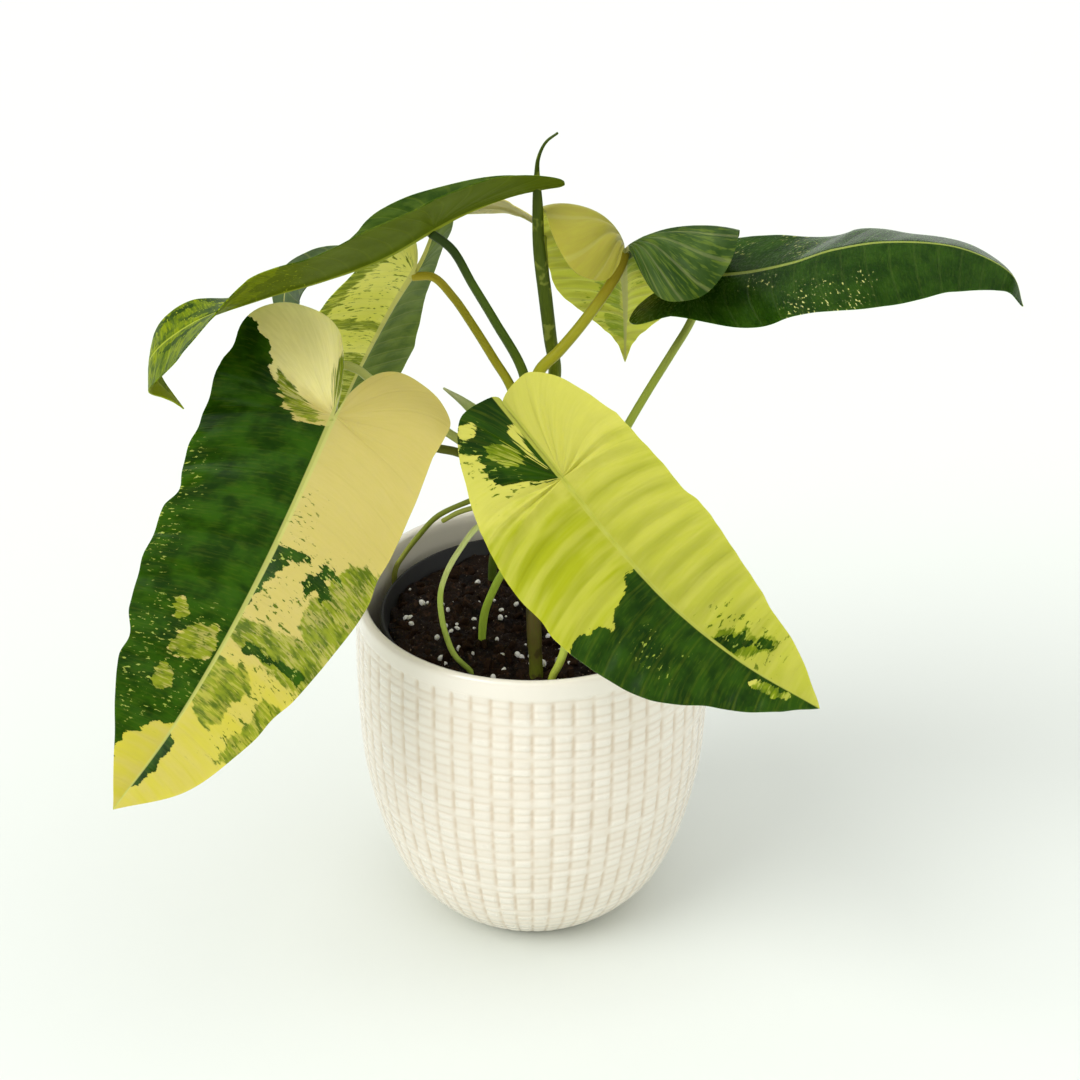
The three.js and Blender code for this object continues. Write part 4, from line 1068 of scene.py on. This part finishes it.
                   mid=(0.1, 0.16, 0.01), mid_deep=(0.05, 0.1, 0.006), dark=(0.008, 0.032, 0.0012),
                   dark_light=(0.02, 0.06, 0.003), fleck=(0.6, 0.6, 0.2), vein=(0.2, 0.26, 0.06),
                   rib=(0.3, 0.36, 0.07), under=(0.12, 0.18, 0.03))),
    # Hangs behind on the right, its two lobes folded over to the front.
    "rear_right": dict(
        midrib=[(40.5, 15, 331), (41, 40, 314), (43, 62, 286), (44, 82, 259), (44.5, 90, 241)],
        face=[(0, 0.8, 0.6), (0, 0.8, 0.6)],
        left=dict(widths=[52, 52, 48, 43, 38, 31, 18, 5], lobe=38, taper=0, sinus=1, bend=-105,
                  fold=[30, 20, 5], curl=[-45, -20, 0]),
        right=dict(widths=[45, 45, 43, 40, 37, 31, 18, 5], lobe=28, taper=0, sinus=1, bend=-95,
                   fold=[70, 30, 5], curl=[-85, -30, 0]),
        wave=1, waves=3, ripple=1.7, vein_gap=7, swell_gap=7, rough=0.3, veins=0.14, under=0.1,
        dark=dict(left=[[(-75, 6), (-75, -80), (34, -80), (44, -40), (30, -16), (24, 6)]]),
        light={},
        mid=dict(left=[[(24, 6), (30, -40), (44, -60), (70, -40), (58, -20), (44, -8), (40, 6)]],
                 right=[[(48, 2), (50, 16), (72, 12), (80, 2)], [(84, -2), (84, 10), (100, 8), (104, -2)]]),
        fleck=dict(left=[[(30, 0), (30, -60), (60, -60), (60, 0)]],
                   right=[[(70, 0), (70, 20), (100, 20), (100, 0)]]),
        warm=dict(left=[[(30, 5), (30, -60), (140, -60), (140, 5)]],
                  right=[[(14, -5), (14, 60), (140, 60), (140, -5)]]),
        # The lime of the blade's underside (warm) is painted brighter than its own colour: painted light on
        # this underside, which hangs in shade.
        paint=dict(pale=(0.34, 0.31, 0.045), warm=(0.78, 0.82, 0.12), thread=(0.5, 0.56, 0.04),
                   mid=(0.36, 0.48, 0.03), mid_deep=(0.3, 0.4, 0.03), dark=(0.018, 0.05, 0.004),
                   dark_light=(0.055, 0.1, 0.02), fleck=(0.5, 0.52, 0.12), vein=(0.5, 0.5, 0.22),
                   rib=(0.5, 0.5, 0.18), under=(0.4, 0.44, 0.06))),
    # Hangs behind the upper left leaf, nearly hidden: cream at the stalk, dark at the tip.
    "back_left": dict(
        midrib=[(5, 66, 321.5), (-6, 70, 326), (-18, 73, 328), (-38, 77, 323.5), (-61, 79, 314),
                (-86, 79, 303), (-104, 78, 296), (-115, 75, 286), (-116, 70, 268)],
        face=[(-0.2, 0.5, 0.85), (-0.3, 0.5, 0.85), (-0.6, 0.2, 0.8), (-0.75, -0.5, 0.3)],
        left=dict(widths=[20, 22, 22, 18, 15, 16, 22, 20], lobe=16, taper=0.2, sinus=1, bend=-15, fold=[0],
                  curl=[0]),
        right=dict(widths=[20, 24, 27, 29, 30, 31, 30, 22], lobe=16, taper=0.2, sinus=1, bend=-15, fold=[0],
                   curl=[0]),
        wave=1, waves=3, ripple=0.4, vein_gap=8, swell_gap=8, rough=0.33, under=0.3,
        dark=dict(left=[[(52, 6), (60, -20), (56, -60), (170, -60), (170, 6)]],
                  right=[[(60, -6), (48, 20), (54, 60), (170, 60), (170, -6)]]),
        light={},
        mid=dict(left=[[(40, 6), (44, -60), (70, -60), (70, 6)]]),
        fleck=dict(left=[[(30, 0), (30, -60), (90, -60), (90, 0)]],
                   right=[[(30, 0), (30, 60), (90, 60), (90, 0)]]),
        warm={},
        paint=dict(pale=(0.55, 0.48, 0.15), warm=(0.5, 0.48, 0.08), thread=(0.4, 0.36, 0.07),
                   mid=(0.2, 0.24, 0.02), mid_deep=(0.09, 0.14, 0.01), dark=(0.02, 0.045, 0.006),
                   dark_light=(0.05, 0.09, 0.02), fleck=(0.5, 0.5, 0.14), vein=(0.36, 0.38, 0.08),
                   rib=(0.5, 0.46, 0.14), under=(0.3, 0.3, 0.1))),
}

for name, leaf in LEAVES.items():
    vertices, faces, corners, length = leaf_blade(name, leaf)
    leaf_skin = leaf_finish(name, leaf, length)
    made_object("blade_" + name, vertices, faces, leaf_skin, replaces=[f"leaf_{name}_blade"],
                corners=corners, sharp=70)


# Leaf stalks: round and fleshy, a little thicker where they clasp the stem, and each one
# bent at the top where it joins the underside of its midrib.
STALKS = {
    "front_left": ([(-4, -6, 231), (-20, -9, 241), (-34, -11, 252), (-53, -17, 269.5), (-68, -20, 283),
                    (-76, -22, 291), (-83, -24, 293)], [3.4, 2.1, 2, 1.9, 2],
                   [(0.36, 0.4, 0.06), (0.5, 0.54, 0.16), (0.42, 0.45, 0.1)]),
    "front_right": ([(-3, -9, 214), (0, -22, 226), (5, -38, 243)], [3.4, 2.3, 2.2],
                    [(0.2, 0.24, 0.02), (0.36, 0.4, 0.05)]),
    "upper_left": ([(-1, -4, 258), (-4, -4, 281), (-16, -4, 305), (-25.5, -5, 323), (-34, -7, 340)],
                   [2.6, 2.2, 2, 1.9, 2],
                   [(0.14, 0.2, 0.014), (0.07, 0.12, 0.008), (0.03, 0.06, 0.006)]),
    "rear_left": ([(-4, -2, 246), (-9, -1, 271), (-17, 5, 283), (-26, 12, 295.5), (-35, 20, 306),
                   (-44, 26, 313)],
                  [3, 2.2, 2, 1.9, 1.9], [(0.3, 0.36, 0.015), (0.38, 0.35, 0.015), (0.5, 0.42, 0.03)]),
    "right": ([(-2, -5, 184), (13, 0, 191), (31, 6, 224), (44, 12, 248), (53, 18, 262), (63, 24, 277),
               (71, 28, 290)],
              [3.4, 2.4, 2, 1.9, 1.9], [(0.25, 0.33, 0.02), (0.34, 0.42, 0.05), (0.42, 0.48, 0.09)]),
    "rear_right": ([(0, -9, 262), (3, -11, 284), (12, -9, 293.5), (21.5, -4, 303.5), (32, 4, 315.5),
                    (38.5, 12, 323.5)],
                   [2.8, 2.6, 2.5, 2.4, 2.3], [(0.36, 0.41, 0.02), (0.37, 0.36, 0.02), (0.42, 0.34, 0.02)]),
    "back_left": ([(1, 0, 252), (8, 8, 262), (11, 8, 275), (9, 16, 288), (6.5, 30, 305), (5, 46, 317.5),
                   (4.5, 56, 321)],
                  [2.6, 2, 1.9, 1.8], [(0.12, 0.18, 0.012), (0.3, 0.34, 0.05)]),
}
for name, (points, radii, colours) in STALKS.items():
    midrib = Midrib(LEAVES[name]["midrib"], LEAVES[name]["face"])
    place, way, face, _ = (v[0] for v in midrib.frame(np.array([0.0])))
    join = place + way * 3 - face * (BLADE_THICKNESS / 2 + RIB_DEPTH - 0.4)
    stalk_skin = skin("stalk_skin_" + name, colours, streak=0.3, rough=0.32)
    grown("stalk_" + name, [*points, tuple(join)], radii, stalk_skin, "stalk", f"leaf_{name}_stalk",
          ridges=5, ridge=0.03, steps=100)


# Cut stalk: the stub of an older leaf's stalk, cut off and dried at the end. It still grows
# from the stem, out to the left behind the front left leaf.
CUT_STALK = [(-5, -3, 222), (-18, -4, 233), (-34, -4, 241), (-43, -2, 242), (-55, 2, 244), (-64, 5, 244)]
stub_skin = skin("stub_skin", [(0.2, 0.24, 0.03), (0.16, 0.19, 0.025), (0.2, 0.16, 0.06)], streak=0.4,
                 rough=0.45)
grown("cut_stalk_grown", CUT_STALK, [3.2, 2.2, 2, 2, 2], stub_skin, "stalk", "cut_stalk", ridges=5,
      ridge=0.03)


# New leaf: a young leaf, still rolled up into a tight green spike with a thin tip bent over
# to one side. It grows straight up from the top of the stem.
NEW_LEAF = [(6, -3, 255), (10, -1, 279), (8, 1, 295), (5.5, 2, 317), (3, 3, 338), (2.5, 4, 356),
            (2.2, 4, 370), (2.8, 4, 377), (6, 3, 384.5), (11, 2, 389)]
spike_skin = skin("new_leaf_skin", [(0.16, 0.2, 0.01), (0.08, 0.12, 0.006), (0.05, 0.08, 0.004)], streak=0.45,
                  blotch=(0.2, 0.24, 0.03))
grown("new_leaf", NEW_LEAF, [2.6, 2.8, 2.9, 3, 3, 2.6, 2.2, 0.9, 0.5], spike_skin, "new_leaf",
      "new_leaf_spike", ridges=2, ridge=0.06, steps=140)


# Bract: the pale pointed sheath that wrapped the bud of an older leaf, dried to a point.
# It clasps the stem and stands out to the left, beside the front right leaf.
BRACT = [(-6, -7, 246), (-14, -9, 254), (-24, -15, 266), (-31, -20, 275), (-38, -25, 283)]
bract_skin = skin("bract_skin", [(0.2, 0.26, 0.03), (0.34, 0.42, 0.12), (0.42, 0.45, 0.2)], streak=0.5,
                  rough=0.4)
grown("bract", BRACT, [2.2, 3.2, 3, 1.8, 0.5], bract_skin, "bract", "bract_left", ridges=1, ridge=0.15,
      steps=50)
